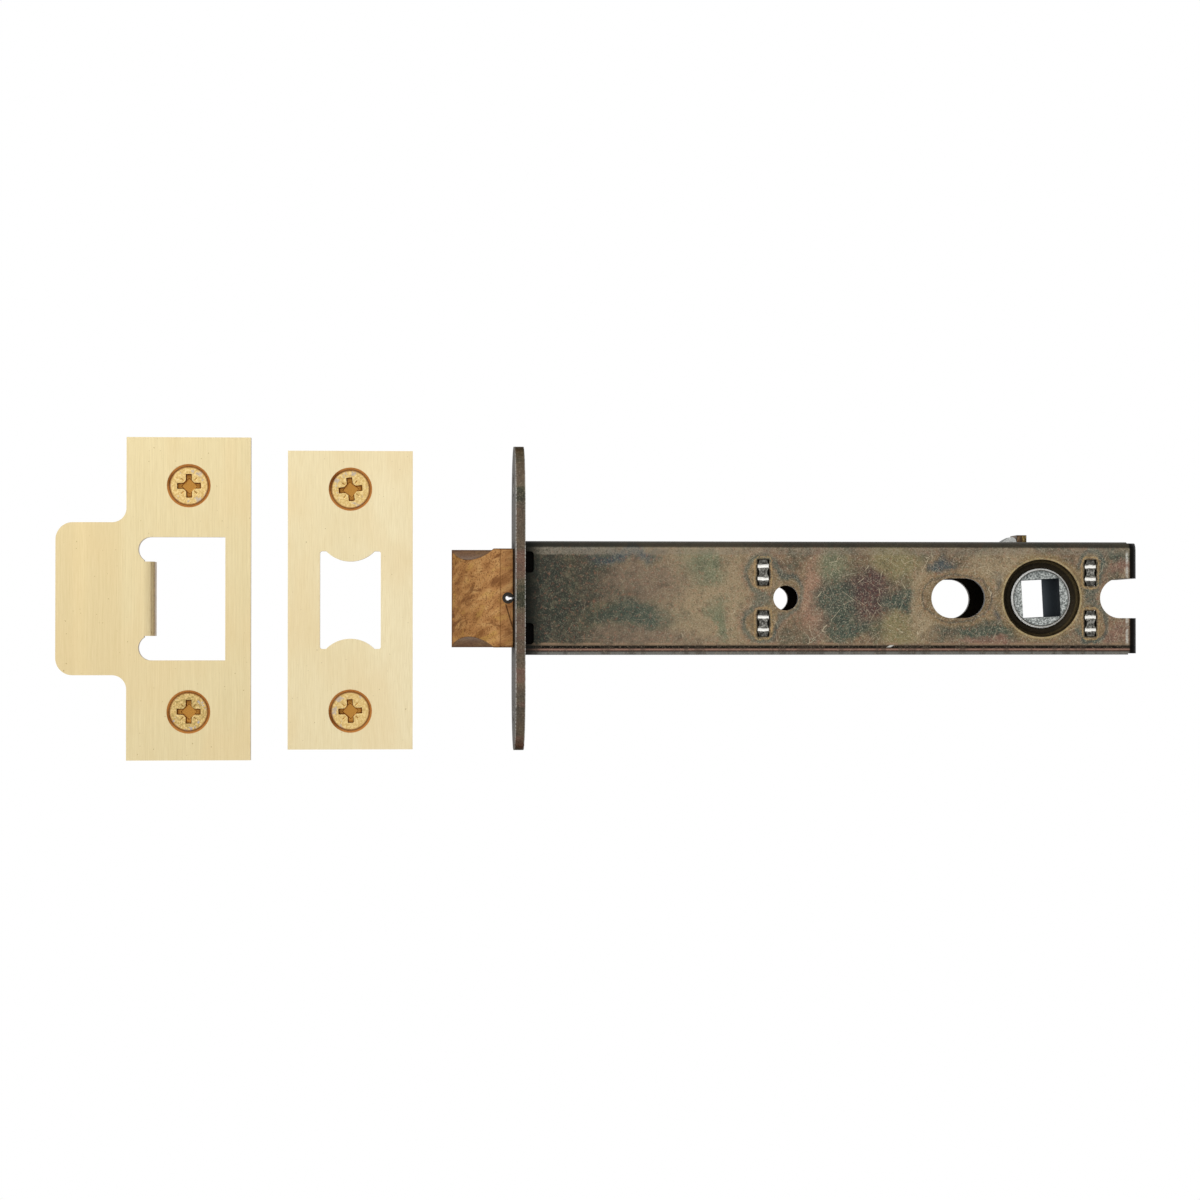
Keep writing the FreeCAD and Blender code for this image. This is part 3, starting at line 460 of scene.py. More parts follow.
def case_top(paint, colour, grain, face, fold):
    """A painted highlight, paler along the top of the side, and painted shade, dark where the sheet rolls
    over.
    """
    # Painted highlight along the top of the side.
    top = paint.times(paint.band(paint.z, TOP_LINE, 0.5, 0.5), face)
    top = paint.times(top, paint.fade(paint.x, 16.0, 32.0, 0.75, 0.4))
    top = paint.times(top, paint.fade(grain, 0.3, 0.6, 0.2, 1.0))
    colour = paint.mix(top, colour, tone(142, 132, 116))
    # Painted shade where the sheet rolls over.
    rolled_shade = paint.times(paint.fade(paint.z, TOP_LINE + 0.5, TOP_LINE + 0.9, 0.0, 0.88), fold)
    return paint.mix(rolled_shade, colour, tone(48, 47, 41))


def case_seam(paint, colour, grain, face, fold):
    """The seam along the bottom: from below a grey edge, then dark and rusty lines, a black band of painted
    shade, a pale line of painted highlight, and a bright nick.
    """
    # Real rusty lines, with painted shade in the black band over the seam and painted highlight in the pale
    # stops above it.
    seam = paint.ramp(
        paint.level(paint.z, SEAM_LOW, SEAM_HIGH),
        (0.02, tone(76, 74, 70)), (0.1, tone(120, 118, 112)), (0.27, tone(106, 104, 98)),
        (0.31, tone(56, 42, 36)), (0.38, tone(72, 52, 44)), (0.42, tone(152, 116, 100)),
        (0.51, tone(148, 112, 96)), (0.56, tone(20, 19, 17)), (0.77, tone(24, 23, 21)),
        (0.82, tone(122, 104, 84)), (0.93, tone(156, 128, 102)),
    )
    streak = paint.noise(2.4, (1, 1, 0.3), 3.0, 0.6, shift=(6, 0, 1))
    seam = paint.mix(paint.fade(streak, 0.52, 0.38, 0.0, 0.55), seam, tone(66, 58, 50))
    seam = paint.mix(paint.fade(grain, 0.55, 0.7, 0.0, 0.35), seam, tone(176, 156, 132))
    shaded = paint.times(paint.fade(paint.z, SEAM_HIGH, SEAM_HIGH - 0.5, 0.0, 0.95), fold)
    # Painted highlight, broken up, along the top of the seam.
    shine = paint.band(paint.z, SEAM_HIGH - 0.3, 0.2, 0.3)
    shine = paint.times(shine, paint.fade(streak, 0.42, 0.6, 0.0, 0.8))
    colour = paint.mix(paint.most(shaded, paint.times(shine, face)), colour, seam)
    slant = paint.calc("MULTIPLY_ADD", paint.z, -NICK_SLOPE, paint.x)
    nick = paint.band(slant, NICK_X - NICK_SLOPE * NICK_Z, 0.25, 0.3)
    nick = paint.times(nick, paint.band(paint.z, NICK_Z, 0.14, 0.14))
    return paint.mix(paint.times(nick, face), colour, tone(206, 203, 194))


def case_ends(paint, colour, grain, face, fold):
    """Painted shade, black, on the rear fold with a pale line of wear and painted highlight inside it,
    painted shade at the front next to the forend, and bright ends of the tongues.
    """
    # Painted shade: the rear fold is black.
    rear = paint.times(paint.fade(paint.x, CASE_REAR - 1.85, CASE_REAR - 1.5, 0.0, 0.98), fold)
    colour = paint.mix(rear, colour, tone(16, 15, 14))
    # A pale line inside the rear fold: wear and painted highlight.
    wear_and_highlight = paint.band(paint.x, CASE_REAR - 2.2, 0.05, 0.4)
    wear_and_highlight = paint.times(wear_and_highlight, paint.fade(grain, 0.3, 0.55, 0.25, 0.85))
    wear_and_highlight = paint.times(wear_and_highlight, paint.band(paint.z, 0.0, 8.6, 1.2))
    wear_and_highlight = paint.times(wear_and_highlight, paint.fade(paint.noise(1.8, shift=(7, 0, 7)), 0.38, 0.6, 0.15, 1.0))
    colour = paint.mix(paint.times(wear_and_highlight, face), colour, tone(214, 210, 198))
    # Painted shade at the front, next to the forend.
    colour = paint.mix(paint.fade(paint.x, 6.5, 2.6, 0.0, 0.92), colour, tone(30, 31, 28))
    tongue = paint.times(paint.fade(paint.x, 0.3, 0.12), paint.fade(grain, 0.25, 0.6, 0.35, 0.9))
    return paint.mix(tongue, colour, tone(170, 167, 160))


def case_inside(paint, colour, flank):
    """The inside is near black, painted shade, and brown on the rim round the hub."""
    high = paint.calc("ABSOLUTE", paint.z)
    inner = paint.fade(flank, CASE_SIDE - 0.14, CASE_SIDE - 0.55)
    inner = paint.times(inner, paint.fade(high, INSIDE_HALF_HEIGHT, INSIDE_HALF_HEIGHT - 0.2))
    inner = paint.times(inner, paint.band(paint.x, INSIDE_X, INSIDE_HALF_LENGTH, 0.1))
    lip = paint.band(paint.away(HUB_X, 0.0), COLLAR_RADIUS - 0.25, 0.25, 0.7)
    lip = paint.times(lip, paint.fade(flank, CASE_SIDE - 1.5, CASE_SIDE - 1.1))
    # Painted shade: near black over the inside of the case.
    shade_and_rim = paint.mix(lip, tone(24, 22, 18), tone(96, 82, 56))
    return paint.mix(paint.times(inner, 0.94), colour, shade_and_rim)


def case_paint():
    """Stained, speckled and scratched steel, with its borders and its inside, where shade and highlights are
    painted.
    """
    paint, colour = steel("passivated_case")
    colour = halos(paint, flowing_stains(paint, colour))
    speck = paint.noise(0.7, detail=3.0, rough=0.7, shift=(2, 5, 8))
    colour = paint.mix(paint.fade(speck, 0.54, 0.68, 0.0, 0.4), colour, tone(160, 106, 84))
    colour = paint.mix(paint.fade(speck, 0.46, 0.32, 0.0, 0.4), colour, tone(84, 98, 78))
    pale = paint.fade(paint.x, 6.0, 70.0, 0.25, 0.62)
    dark = paint.fade(paint.x, 20.0, 60.0, 0.45, 0.62)
    colour, grain = grain_over(paint, colour, pale, dark)
    colour = case_scratches(paint, colour)
    colour = stake_cracks(paint, colour, grain)
    flank = paint.calc("ABSOLUTE", paint.y)
    face = paint.fade(flank, CASE_SIDE - 0.4, CASE_SIDE - 0.15)
    fold = paint.fade(flank, CASE_SIDE - 2.2, CASE_SIDE - 1.2)
    for border in (case_top, case_seam, case_ends):
        colour = border(paint, colour, grain, face, fold)
    colour = case_inside(paint, colour, flank)
    paint.give("Base Color", paint.shaded(colour, CASE_SHADE))
    return paint


def forend_paint():
    """Brown-grey, with bright wear along the corners of its edge and painted shade round the bolt."""
    paint, colour = steel("passivated_forend")
    paint.shader.inputs["Specular Tint"].default_value = EDGE_TINT
    colour = paint.mix(0.65, colour, tone(98, 86, 76))
    patch = paint.noise(6.0, (0.2, 0.2, 1.0), 3.0, 0.6)
    colour = paint.mix(paint.fade(patch, 0.53, 0.62, 0.0, 0.85), colour, tone(56, 62, 50))
    colour = paint.mix(paint.fade(patch, 0.46, 0.36, 0.0, 0.75), colour, tone(128, 94, 82))
    colour, grain = grain_over(paint, colour, 0.45, 0.7)
    front = paint.fade(paint.x, 0.12, 0.02)
    colour = paint.mix(paint.times(front, 0.7), colour, tone(164, 162, 158))
    # Painted shade on the front face round the bolt.
    above = paint.calc("SUBTRACT", paint.calc("ABSOLUTE", paint.z), BOLT_TOP)
    aside = paint.calc("SUBTRACT", paint.calc("ABSOLUTE", paint.y), BOLT_SIDE)
    stray = paint.calc("MULTIPLY_ADD", paint.noise(2.2, detail=3.0, shift=(0, 9, 0)), 3.0, -1.5)
    aperture_shade = paint.fade(paint.calc("ADD", paint.most(above, aside), stray), 0.2, 2.0, 0.85, 0.0)
    colour = paint.mix(paint.times(front, aperture_shade), colour, tone(34, 32, 29))
    corner = paint.most(
        paint.fade(paint.x, 0.3, 0.12), paint.fade(paint.x, FOREND_BACK - 0.2, FOREND_BACK - 0.05),
    )
    edge = paint.times(corner, paint.fade(front, 0.0, 1.0, 1.0, 0.0))
    wear = paint.times(edge, paint.fade(grain, 0.42, 0.58, 0.1, 0.95))
    colour = paint.mix(wear, colour, tone(214, 210, 202))
    paint.give("Base Color", paint.shaded(colour, FOREND_SHADE))
    return paint


def tail_paint():
    """Dull brown steel. The hook at its rear is red-brown, with a yellow band. Its top edge and the hook's
    rear edge are dark, painted shade.
    """
    paint, colour = steel("passivated_tail")
    hook = paint.fade(paint.y, HOOK_SIDE, HOOK_SIDE - 0.4)
    yellow = paint.band(paint.x, TAIL_REAR - 0.5, 0.2, 0.3)
    brown = paint.mix(yellow, tone(96, 66, 44), tone(168, 142, 78))
    colour = paint.mix(paint.times(hook, 0.8), colour, brown)
    colour, _ = grain_over(paint, colour, 0.35, 0.6)
    # Painted shade along the top edge and the hook's rear edge.
    high = paint.fade(paint.z, TAIL_TOP - 0.25, TAIL_TOP - 0.1)
    rear = paint.fade(paint.x, TAIL_REAR - 0.14, TAIL_REAR - 0.04)
    border = paint.most(high, paint.times(rear, hook))
    colour = paint.mix(paint.times(border, 0.75), colour, tone(52, 42, 32))
    rust = paint.noise(0.9, (1.6, 1, 0.5), 2.0, shift=(2, 0, 5))
    stripe = paint.times(hook, paint.fade(rust, 0.48, 0.6))
    colour = paint.mix(paint.times(stripe, 0.75), colour, tone(50, 40, 30))
    paint.give("Base Color", colour)
    return paint


put(case_paint(), "case_tray", "case_cover")
put(forend_paint(), "forend")
put(tail_paint(), "bolt_tail")


# Bare steel: spacers with their staked ends, springs and the pin

def bare_paint():
    """Dark steel, bright where the chisel spread the tabs, darker at their ends, and black inside the case as
    painted shade.
    """
    paint = Paint("bare_steel", roughness=0.36)
    grain = paint.noise(0.34, detail=3.0, rough=0.65)
    colour = paint.ramp(
        grain, (0.34, tone(44, 42, 39)), (0.5, tone(104, 102, 96)), (0.68, tone(172, 170, 162)),
    )
    wave = paint.calc("MULTIPLY_ADD", paint.noise(1.2, detail=2.0), 0.5, -0.25)
    marks, caps = 0.0, 0.0
    for x, z in STAKES:
        height = paint.calc("ADD", paint.apart(paint.z, z), wave)
        near = paint.band(paint.x, x, 1.6, 0.1)
        marks = paint.most(paint.times(near, paint.band(height, CHISEL_HEIGHT, 0.2, 0.16)), marks)
        cap = paint.times(paint.fade(height, 1.6, 1.9), paint.band(paint.z, z, 2.7, 0.1))
        caps = paint.most(paint.times(near, cap), caps)
    colour = paint.mix(paint.times(caps, 0.55), colour, tone(40, 39, 36))
    bright = paint.times(marks, paint.fade(grain, 0.25, 0.45, 0.65, 1.0))
    colour = paint.mix(bright, colour, tone(250, 248, 242))
    # Painted shade: black where the spacers lie inside the case.
    flank = paint.calc("ABSOLUTE", paint.y)
    inside = paint.fade(flank, CASE_SIDE - 0.05, CASE_SIDE - 0.2, 0.0, 0.95)
    colour = paint.mix(inside, colour, tone(22, 21, 19))
    paint.give("Base Color", colour)
    paint.bump(grain, 0.08, 0.7)
    return paint


def spring_paint():
    """Bright drawn wire."""
    paint = Paint("drawn_wire", roughness=0.3)
    grain = paint.noise(0.2, detail=2.0)
    paint.give("Base Color", paint.mix(grain, tone(120, 120, 118), tone(178, 178, 174)))
    return paint


def pin_paint():
    """Nearly black steel."""
    paint = Paint("blackened_steel", roughness=0.4)
    grain = paint.noise(0.3)
    paint.give("Base Color", paint.mix(grain, tone(36, 34, 32), tone(70, 66, 60)))
    return paint


put(bare_paint(), "front_spacer", "rear_spacer")
put(pin_paint(), "bolt_pin")
WIRE = spring_paint()


# Brass: the stained bolt, the satin plates and the plated screws

BOLT_SHADE = (0.74, 0.73, 0.76, 1.0)
PLATE_SHADE = (0.96, 0.96, 0.97, 1.0)
STREAK_TURN = 28.0


def bolt_paint():
    """Golden brown with dark slanting streaks. The end that stays in the case is black, painted shade."""
    paint = Paint("stained_brass", roughness=0.42)
    streak = paint.noise(1.0, (0.14, 0.3, 0.6), 4.0, 0.65, 0.4, STREAK_TURN)
    stain = paint.noise(4.5, (0.6, 1, 1.8), 4.0, 0.6, 0.8, STREAK_TURN)
    colour = paint.ramp(
        streak, (0.3, tone(158, 108, 62)), (0.48, tone(206, 152, 94)), (0.68, tone(234, 188, 122)),
    )
    colour = paint.mix(paint.fade(stain, 0.54, 0.64, 0.0, 0.75), colour, tone(136, 88, 52))
    colour = paint.mix(paint.fade(stain, 0.44, 0.34, 0.0, 0.4), colour, tone(224, 182, 96))
    grain = paint.noise(0.32, detail=2.0)
    colour = paint.mix(paint.fade(grain, 0.53, 0.66, 0.0, 0.65), colour, tone(112, 74, 42))
    # The hollows along the top and the bottom, and the corners, are dull and dark: painted shade
    for middle in (-HOLLOW_Z, HOLLOW_Z):
        reach = paint.length(paint.y, paint.calc("SUBTRACT", paint.z, middle))
        hollow_shade = paint.fade(reach, HOLLOW_RADIUS + 0.1, HOLLOW_RADIUS, 0.0, 0.75)
        colour = paint.mix(hollow_shade, colour, tone(104, 82, 66))
    flat = paint.fade(paint.x, BOLT_NECK - 0.15, BOLT_NECK + 0.05)
    colour = paint.mix(paint.times(flat, 0.3), colour, tone(172, 122, 76))
    # Painted shade: thin dark lines at the neck and at the tip.
    line = paint.band(paint.x, BOLT_NECK, 0.05, 0.12)
    line = paint.most(line, paint.band(paint.x, BOLT_TIP + 0.1, 0.05, 0.2))
    colour = paint.mix(paint.times(line, 0.5), colour, tone(110, 74, 40))
    corner = paint.fade(paint.calc("ABSOLUTE", paint.z), BOLT_TOP - 0.45, BOLT_TOP - 0.1, 0.0, 0.5)
    colour = paint.mix(corner, colour, tone(96, 64, 36))
    # A dark scratch runs down from the pin
    slant = paint.calc("MULTIPLY_ADD", paint.z, PIN_SCRATCH_SLANT, paint.x)
    scratch = paint.band(slant, PIN_SCRATCH_X, 0.06, 0.16)
    scratch = paint.times(scratch, paint.band(paint.z, PIN_SCRATCH_Z, 2.0, 0.8))
    colour = paint.mix(paint.times(scratch, 0.8), colour, tone(64, 42, 26))
    # Painted shade: the end inside the case is near black.
    colour = paint.mix(paint.fade(paint.x, -0.5, -0.15), colour, tone(20, 19, 18))
    paint.give("Base Color", paint.shaded(colour, BOLT_SHADE))
    paint.give("Roughness", paint.fade(grain, 0.2, 0.8, 0.38, 0.54))
    paint.bump(grain, 0.02, 0.4)
    return paint


def nearest_sink(paint):
    """Distance across the plates from the nearest screw."""
    sink = paint.away(*SINKS[0])
    for x, z in SINKS[1:]:
        sink = paint.calc("MINIMUM", sink, paint.away(x, z))
    return sink


def plate_paint():
    """Satin brass, brushed upright. Cut edges are darker, painted shade, and countersinks are a deeper orange
    that darkens with depth, painted shade.
    """
    paint = Paint("satin_brass", roughness=0.36)
    brush = paint.noise(1.0, (5.0, 0.5, 0.07), 4.0, 0.6)
    fine = paint.noise(1.0, (12.0, 0.5, 0.3), 3.0, 0.6)
    soft = paint.noise(12.0, (1, 1, 0.5), 2.0)
    colour = paint.ramp(brush, (0.3, tone(220, 203, 158)), (0.7, tone(233, 217, 173)))
    # The face plate is paler, most of all at its right, and the strike plate's lip is darker
    pale = paint.fade(paint.x, BETWEEN_PLATES_X, BETWEEN_PLATES_X + 1.0, 0.0, 0.5)
    colour = paint.mix(pale, colour, tone(240, 226, 188))
    paler = paint.fade(paint.x, FACE_RIGHT_X, FACE_RIGHT_X + 8.0, 0.0, 0.4)
    colour = paint.mix(paler, colour, tone(246, 233, 196))
    colour = paint.mix(paint.fade(paint.x, LIP_X, LIP_X - 3.0, 0.0, 0.4), colour, tone(220, 196, 146))
    colour = paint.mix(paint.fade(fine, 0.38, 0.7, 0.0, 0.4), colour, tone(208, 188, 138))
    colour = paint.mix(paint.fade(soft, 0.42, 0.66, 0.0, 0.3), colour, tone(226, 200, 150))
    speck = paint.noise(0.55, detail=1.0, shift=(5, 0, 9))
    colour = paint.mix(paint.fade(speck, 0.74, 0.78, 0.0, 0.7), colour, tone(150, 122, 74))
    # Painted shade on the cut edges, picked out by which way the surface faces.
    normal = paint.node("ShaderNodeSeparateXYZ")
    paint.feed(normal.inputs[0], paint.node("ShaderNodeNewGeometry").outputs["Normal"])
    edge = paint.fade(paint.calc("ABSOLUTE", normal.outputs["Y"]), 0.75, 0.35)
    grain = paint.noise(0.4, detail=2.0)
    cut = paint.mix(paint.fade(grain, 0.35, 0.65), tone(108, 82, 46), tone(152, 122, 76))
    colour = paint.mix(paint.times(edge, 0.9), colour, cut)
    inside = paint.fade(nearest_sink(paint), SINK_REACH, SINK_REACH - 0.15)
    inside = paint.times(inside, paint.fade(paint.y, PLATE_FRONT, PLATE_FRONT + 0.06))
    inside = paint.times(inside, paint.fade(paint.y, PLATE_BACK - 0.02, PLATE_BACK - 0.1))
    # Painted shade: the countersinks darken with depth.
    depth = paint.fade(paint.y, PLATE_FRONT + 0.25, PLATE_FRONT + 0.6)
    deep = paint.mix(depth, tone(206, 136, 62), tone(110, 54, 18))
    colour = paint.mix(paint.times(inside, 0.92), colour, deep)
    paint.give("Base Color", paint.shaded(colour, PLATE_SHADE))
    paint.give("Roughness", paint.fade(fine, 0.2, 0.8, 0.32, 0.44))
    paint.bump(fine, 0.012, 0.35)
    return paint


def screw_paint():
    """Bright plating, brown in the recess and at the rim as painted shade. One head is rough and spotted with
    grey.
    """
    paint = Paint("plated_brass", roughness=0.24)
    grain = paint.noise(0.5, detail=3.0)
    colour = paint.mix(paint.fade(grain, 0.35, 0.7), tone(206, 172, 108), tone(236, 208, 146))
    reach = nearest_sink(paint)
    spotted = paint.fade(paint.away(*SPOTTED_SINK), 6.0, 5.0)
    rough = paint.noise(0.35, detail=3.0, rough=0.7)
    dull = paint.times(spotted, paint.fade(rough, 0.42, 0.62))
    colour = paint.mix(dull, colour, tone(172, 148, 92))
    spot = paint.noise(1.3, detail=2.0, shift=(4, 0, 2))
    grey = paint.times(paint.fade(spot, 0.58, 0.64), paint.fade(reach, 2.5, 3.0))
    grey = paint.times(grey, paint.fade(spotted, 0.0, 1.0, 0.55, 0.9))
    colour = paint.mix(grey, colour, tone(168, 166, 172))
    # Painted shade: brown down the cross recess.
    deep = paint.fade(paint.y, HEAD_TOP + 0.04, HEAD_TOP + 0.3)
    deep = paint.times(deep, paint.fade(reach, RECESS_REACH, RECESS_REACH - 0.07))
    deep = paint.times(deep, paint.fade(paint.y, HEAD_TOP + 1.8, HEAD_TOP + 1.5))
    depth = paint.fade(paint.y, HEAD_TOP + 0.5, HEAD_TOP + 1.1)
    colour = paint.mix(deep, colour, paint.mix(depth, tone(136, 84, 32), tone(180, 128, 60)))
    # Painted shade: brown round the rim of the head.
    rim = paint.fade(reach, HEAD_RADIUS - 0.3, HEAD_RADIUS - 0.12, 0.0, 0.8)
    colour = paint.mix(rim, colour, tone(140, 84, 34))
    paint.give("Base Color", colour)
    paint.give("Roughness", paint.fade(grain, 0.2, 0.8, 0.2, 0.34))
    paint.bump(paint.calc("MULTIPLY_ADD", paint.times(rough, spotted), 3.0, grain), 0.03, 0.35)
    return paint


put(bolt_paint(), "latch_bolt")
put(plate_paint(), "face_plate", "strike_plate")
SCREW = screw_paint()


# Sintered hub

def hub_paint():
    """Grey and speckled, darker towards the top, dark down the square hole and in a thin ring inside the rim,
    all painted shade, and bright at the chamfered rim, a painted highlight.
    """
    paint = Paint("sintered_metal", roughness=0.38)
    paint.shader.inputs["Specular Tint"].default_value = EDGE_TINT
    grain = paint.noise(0.34, detail=3.0, rough=0.7)
    colour = paint.ramp(
        grain, (0.34, tone(70, 73, 72)), (0.5, tone(142, 146, 143)), (0.66, tone(218, 221, 217)),
    )
    # Painted shade: darker towards the top.
    colour = paint.mix(paint.fade(paint.z, 1.0, 5.5, 0.0, 0.25), colour, tone(92, 96, 96))
    reach = paint.away(HUB_X, 0.0)
    flank = paint.calc("ABSOLUTE", paint.y)
    end = paint.fade(flank, HUB_END - 0.08, HUB_END - 0.04)
    # Painted highlight: a near-white, less metallic ring on the chamfered rim.
    rim = paint.fade(reach, HUB_FACE_RADIUS + 0.02, HUB_FACE_RADIUS + 0.12)
    rim = paint.times(rim, paint.fade(flank, HUB_END - 0.7, HUB_END - 0.5))
    shine = paint.times(rim, paint.fade(grain, 0.3, 0.55, 0.6, 1.0))
    colour = paint.mix(shine, colour, tone(250, 251, 249))
    paint.give("Metallic", paint.fade(rim, 0.0, 1.0, 1.0, 0.2))
    # Painted shade: a thin dark ring inside the rim.
    groove_shade = paint.times(paint.band(reach, HUB_FACE_RADIUS - 0.15, 0.05, 0.14), end)
    colour = paint.mix(paint.times(groove_shade, 0.4), colour, tone(58, 60, 60))
    # Painted shade down the square hole.
    hole = paint.fade(reach, HUB_FACE_RADIUS, HUB_FACE_RADIUS - 0.1)
    hole = paint.times(hole, paint.fade(end, 0.0, 1.0, 1.0, 0.0))
    colour = paint.mix(paint.times(hole, 0.96), colour, tone(86, 91, 96))
    arm = paint.fade(paint.z, 9.0, 10.5)
    colour = paint.mix(paint.times(arm, 0.6), colour, tone(206, 207, 204))
    paint.give("Base Color", colour)
    paint.give("Roughness", paint.fade(hole, 0.0, 1.0, 0.38, 0.6))
    paint.bump(grain, 0.04, 0.6)
    return paint


put(hub_paint(), "hub")


# Pieces that are finer than the solids

def mesh_piece(name, points, faces, paint):
    """A smooth-shaded mesh in the shared frame."""
    mesh = bpy.data.meshes.new(name)
    mesh.from_pydata([tuple(p) for p in points], [], [tuple(f) for f in faces])
    mesh.validate()
    mesh.materials.append(paint.material)
    mesh.polygons.foreach_set("use_smooth", [True] * len(mesh.polygons))
    piece = bpy.data.objects.new(name, mesh)
    bpy.context.scene.collection.objects.link(piece)
    return piece


def tube(path, radius, sides=14):
    """Points and faces of a round wire along a path, with flat ends."""
    path = np.asarray(path, float)
    ahead = np.gradient(path, axis=0)
    ahead /= np.linalg.norm(ahead, axis=1)[:, None]
    across = np.cross(ahead[0], (0.31, 0.52, 0.79))
    points = []
    for spot, way in zip(path, ahead):
        across = across - way * across.dot(way)
        across /= np.linalg.norm(across)
        beside = np.cross(way, across)
        for k in range(sides):
            angle = 2 * math.pi * k / sides
            points.append(spot + radius * (math.cos(angle) * across + math.sin(angle) * beside))
    faces = []
    for i in range(len(path) - 1):
        for k in range(sides):
            n = (k + 1) % sides
            faces.append((i * sides + k, i * sides + n, (i + 1) * sides + n, (i + 1) * sides + k))
    last = (len(path) - 1) * sides
    faces.append(tuple(reversed(range(sides))))
    faces.append(tuple(range(last, last + sides)))
    return points, faces


def bolt_spring():
    """The compression spring, closed at both ends."""
    low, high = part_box("bolt_spring")
    wire = 1.0 * MM
    radius = (high.y - low.y - wire) / 2
    start, end = low.x + wire / 2, high.x - wire / 2
    active, closed = 6.5, 1.0
    turns = active + 2 * closed
    wound = np.linspace(0, turns, int(turns * 32) + 1)
    opened = np.clip(wound - closed, 0, active)
    advance = (wound - opened) * wire + opened * (end - start - 2 * closed * wire) / active
    angle = 2 * math.pi * wound
    path = np.stack([start + advance, radius * np.cos(angle), radius * np.sin(angle)], axis=1)
    piece = mesh_piece("bolt_spring_wire", *tube(path, wire / 2), WIRE)
    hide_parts("bolt_spring")
    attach(piece, CASE)
    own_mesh(piece)


def hub_spring():
    """The torsion spring: one leg rests on the rear spacer, the other lies beside the hub's arm."""
    low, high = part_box("hub_spring")
    wire, pitch, near = 0.9 * MM, 1.0 * MM, 1.7 * MM
    axis, radius = HUB_X * MM, 7.45 * MM
    far = high.y - wire / 2
    turns = (far - near) / pitch
    wound = np.linspace(0, turns, int(turns * 40) + 1)
    angle = -math.pi / 2 - 2 * math.pi * wound
    coil = np.stack([axis + radius * np.cos(angle), far - wound * pitch, radius * np.sin(angle)], axis=1)
    x, y, z = coil[-1]
    leg = [(high.x, far, -radius), (axis + 0.2 * wire, far, -radius)]
    path = np.concatenate([leg, coil, [(x, y - wire, z), (x, y - 2 * wire, z), (x, low.y, z)]])
    piece = mesh_piece("hub_spring_wire", *tube(path, wire / 2), WIRE)
    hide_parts("hub_spring")
    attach(piece, CASE)


bolt_spring()
hub_spring()


def recess_depth(x, z, turn):
    """Depth of the cross recess at a place on the head, with the small ticks between its wings."""
    c, s = math.cos(turn), math.sin(turn)
    u, v = (x * c + z * s) / MM, (z * c - x * s) / MM
    wing, span, wall = 0.59, 2.42, 0.12
    end_depth, full_depth, end_run = 0.55, 1.3, 1.4
    core, core_wall, cone, cone_radius = 1.72, 0.14, 0.25, 0.5
    tick_place, tick_half, tick_end, tick_depth = 1.88, 0.42, 0.1, 0.16
    tick_width, tick_wall = 0.12, 0.07
    depth = np.zeros_like(np.asarray(u, float))
    for along, beside in ((u, v), (v, u)):
        left = span - np.abs(along)
        side = np.clip((wing - np.abs(beside)) / wall, 0, 1)
        end = np.clip(left / wall, 0, 1)
        slope = end_depth + (full_depth - end_depth) * np.clip(left / end_run, 0, 1)
        depth = np.maximum(depth, slope * np.minimum(side, end))
    middle = np.clip((core - np.abs(u) - np.abs(v)) / core_wall, 0, 1)
    raised = cone * np.clip(1 - np.hypot(u, v) / cone_radius, 0, 1)
    depth = np.maximum(depth, middle * (full_depth - raised))
    p, q = (u + v) / math.sqrt(2), (v - u) / math.sqrt(2)
    for along, beside in ((p, q), (q, p)):
        run = np.clip((tick_half - np.abs(np.abs(along) - tick_place)) / tick_end, 0, 1)
        cut = np.clip((tick_width - np.abs(beside)) / tick_wall, 0, 1)
        depth = np.maximum(depth, tick_depth * run * cut)
    return depth * MM


def rows_to_faces(first, rows, sides):
    """Quads between rows of points that each go once round."""
    faces = []
    for row in range(rows - 1):
        a, b = first + row * sides, first + (row + 1) * sides
        faces += [(a + k, b + k, b + (k + 1) % sides, a + (k + 1) % sides) for k in range(sides)]
    return faces


def screw_head(x, z, top, head, turn):
    """Points and faces of a recessed head, out to its rim."""
    rings, sides = 64, 192
    angle = 2 * math.pi * np.arange(sides) / sides
    points = [(x, top + float(recess_depth(0.0, 0.0, turn)), z)]
    for ring in range(1, rings + 1):
        px, pz = head * ring / rings * np.cos(angle), head * ring / rings * np.sin(angle)
        points += [(x + a, top + d, z + b) for a, b, d in zip(px, pz, recess_depth(px, pz, turn))]
    faces = [(0, 1 + k, 1 + (k + 1) % sides) for k in range(sides)]
    return points, faces + rows_to_faces(1, rings, sides)


def screw_mesh(x, z, top, tip, head, shank, turn):
    """One screw: its head, then a cone, and a thread on a core that tapers to the point."""
    points, faces = screw_head(x, z, top, head, turn)
    pitch, ridge, taper, sides = 1.6 * MM, 0.45 * MM, 4.0 * MM, 64
    plain, run_in, crest_half, point_share = 1.0 * MM, 1.5 * MM, 0.28, 0.02
    angle = 2 * math.pi * np.arange(sides) / sides
    cone, run = head - shank, tip - top
    levels = np.concatenate([np.linspace(0, cone, 6), np.linspace(cone, run, 130)[1:]])
    first = len(points)
    for level in levels:
        phase = (level / pitch - angle / (2 * math.pi)) % 1.0
        crest = np.clip(1 - np.abs(phase - 0.5) / crest_half, 0, 1)
        grown = np.clip((level - cone - plain) / run_in, 0, 1)
        left = np.clip((run - level) / taper, point_share, 1)
        radius = np.full(sides, head - level)
        if level > cone:
            radius = left * (shank - ridge * grown * (1 - crest))
        points += [(x + r * math.cos(a), top + level, z + r * math.sin(a)) for r, a in zip(radius, angle)]
    faces += rows_to_faces(first, len(levels), sides)
    last = len(points) - sides
    points.append((x, tip, z))
    faces += [(len(points) - 1, last + (k + 1) % sides, last + k) for k in range(sides)]
    return points, faces


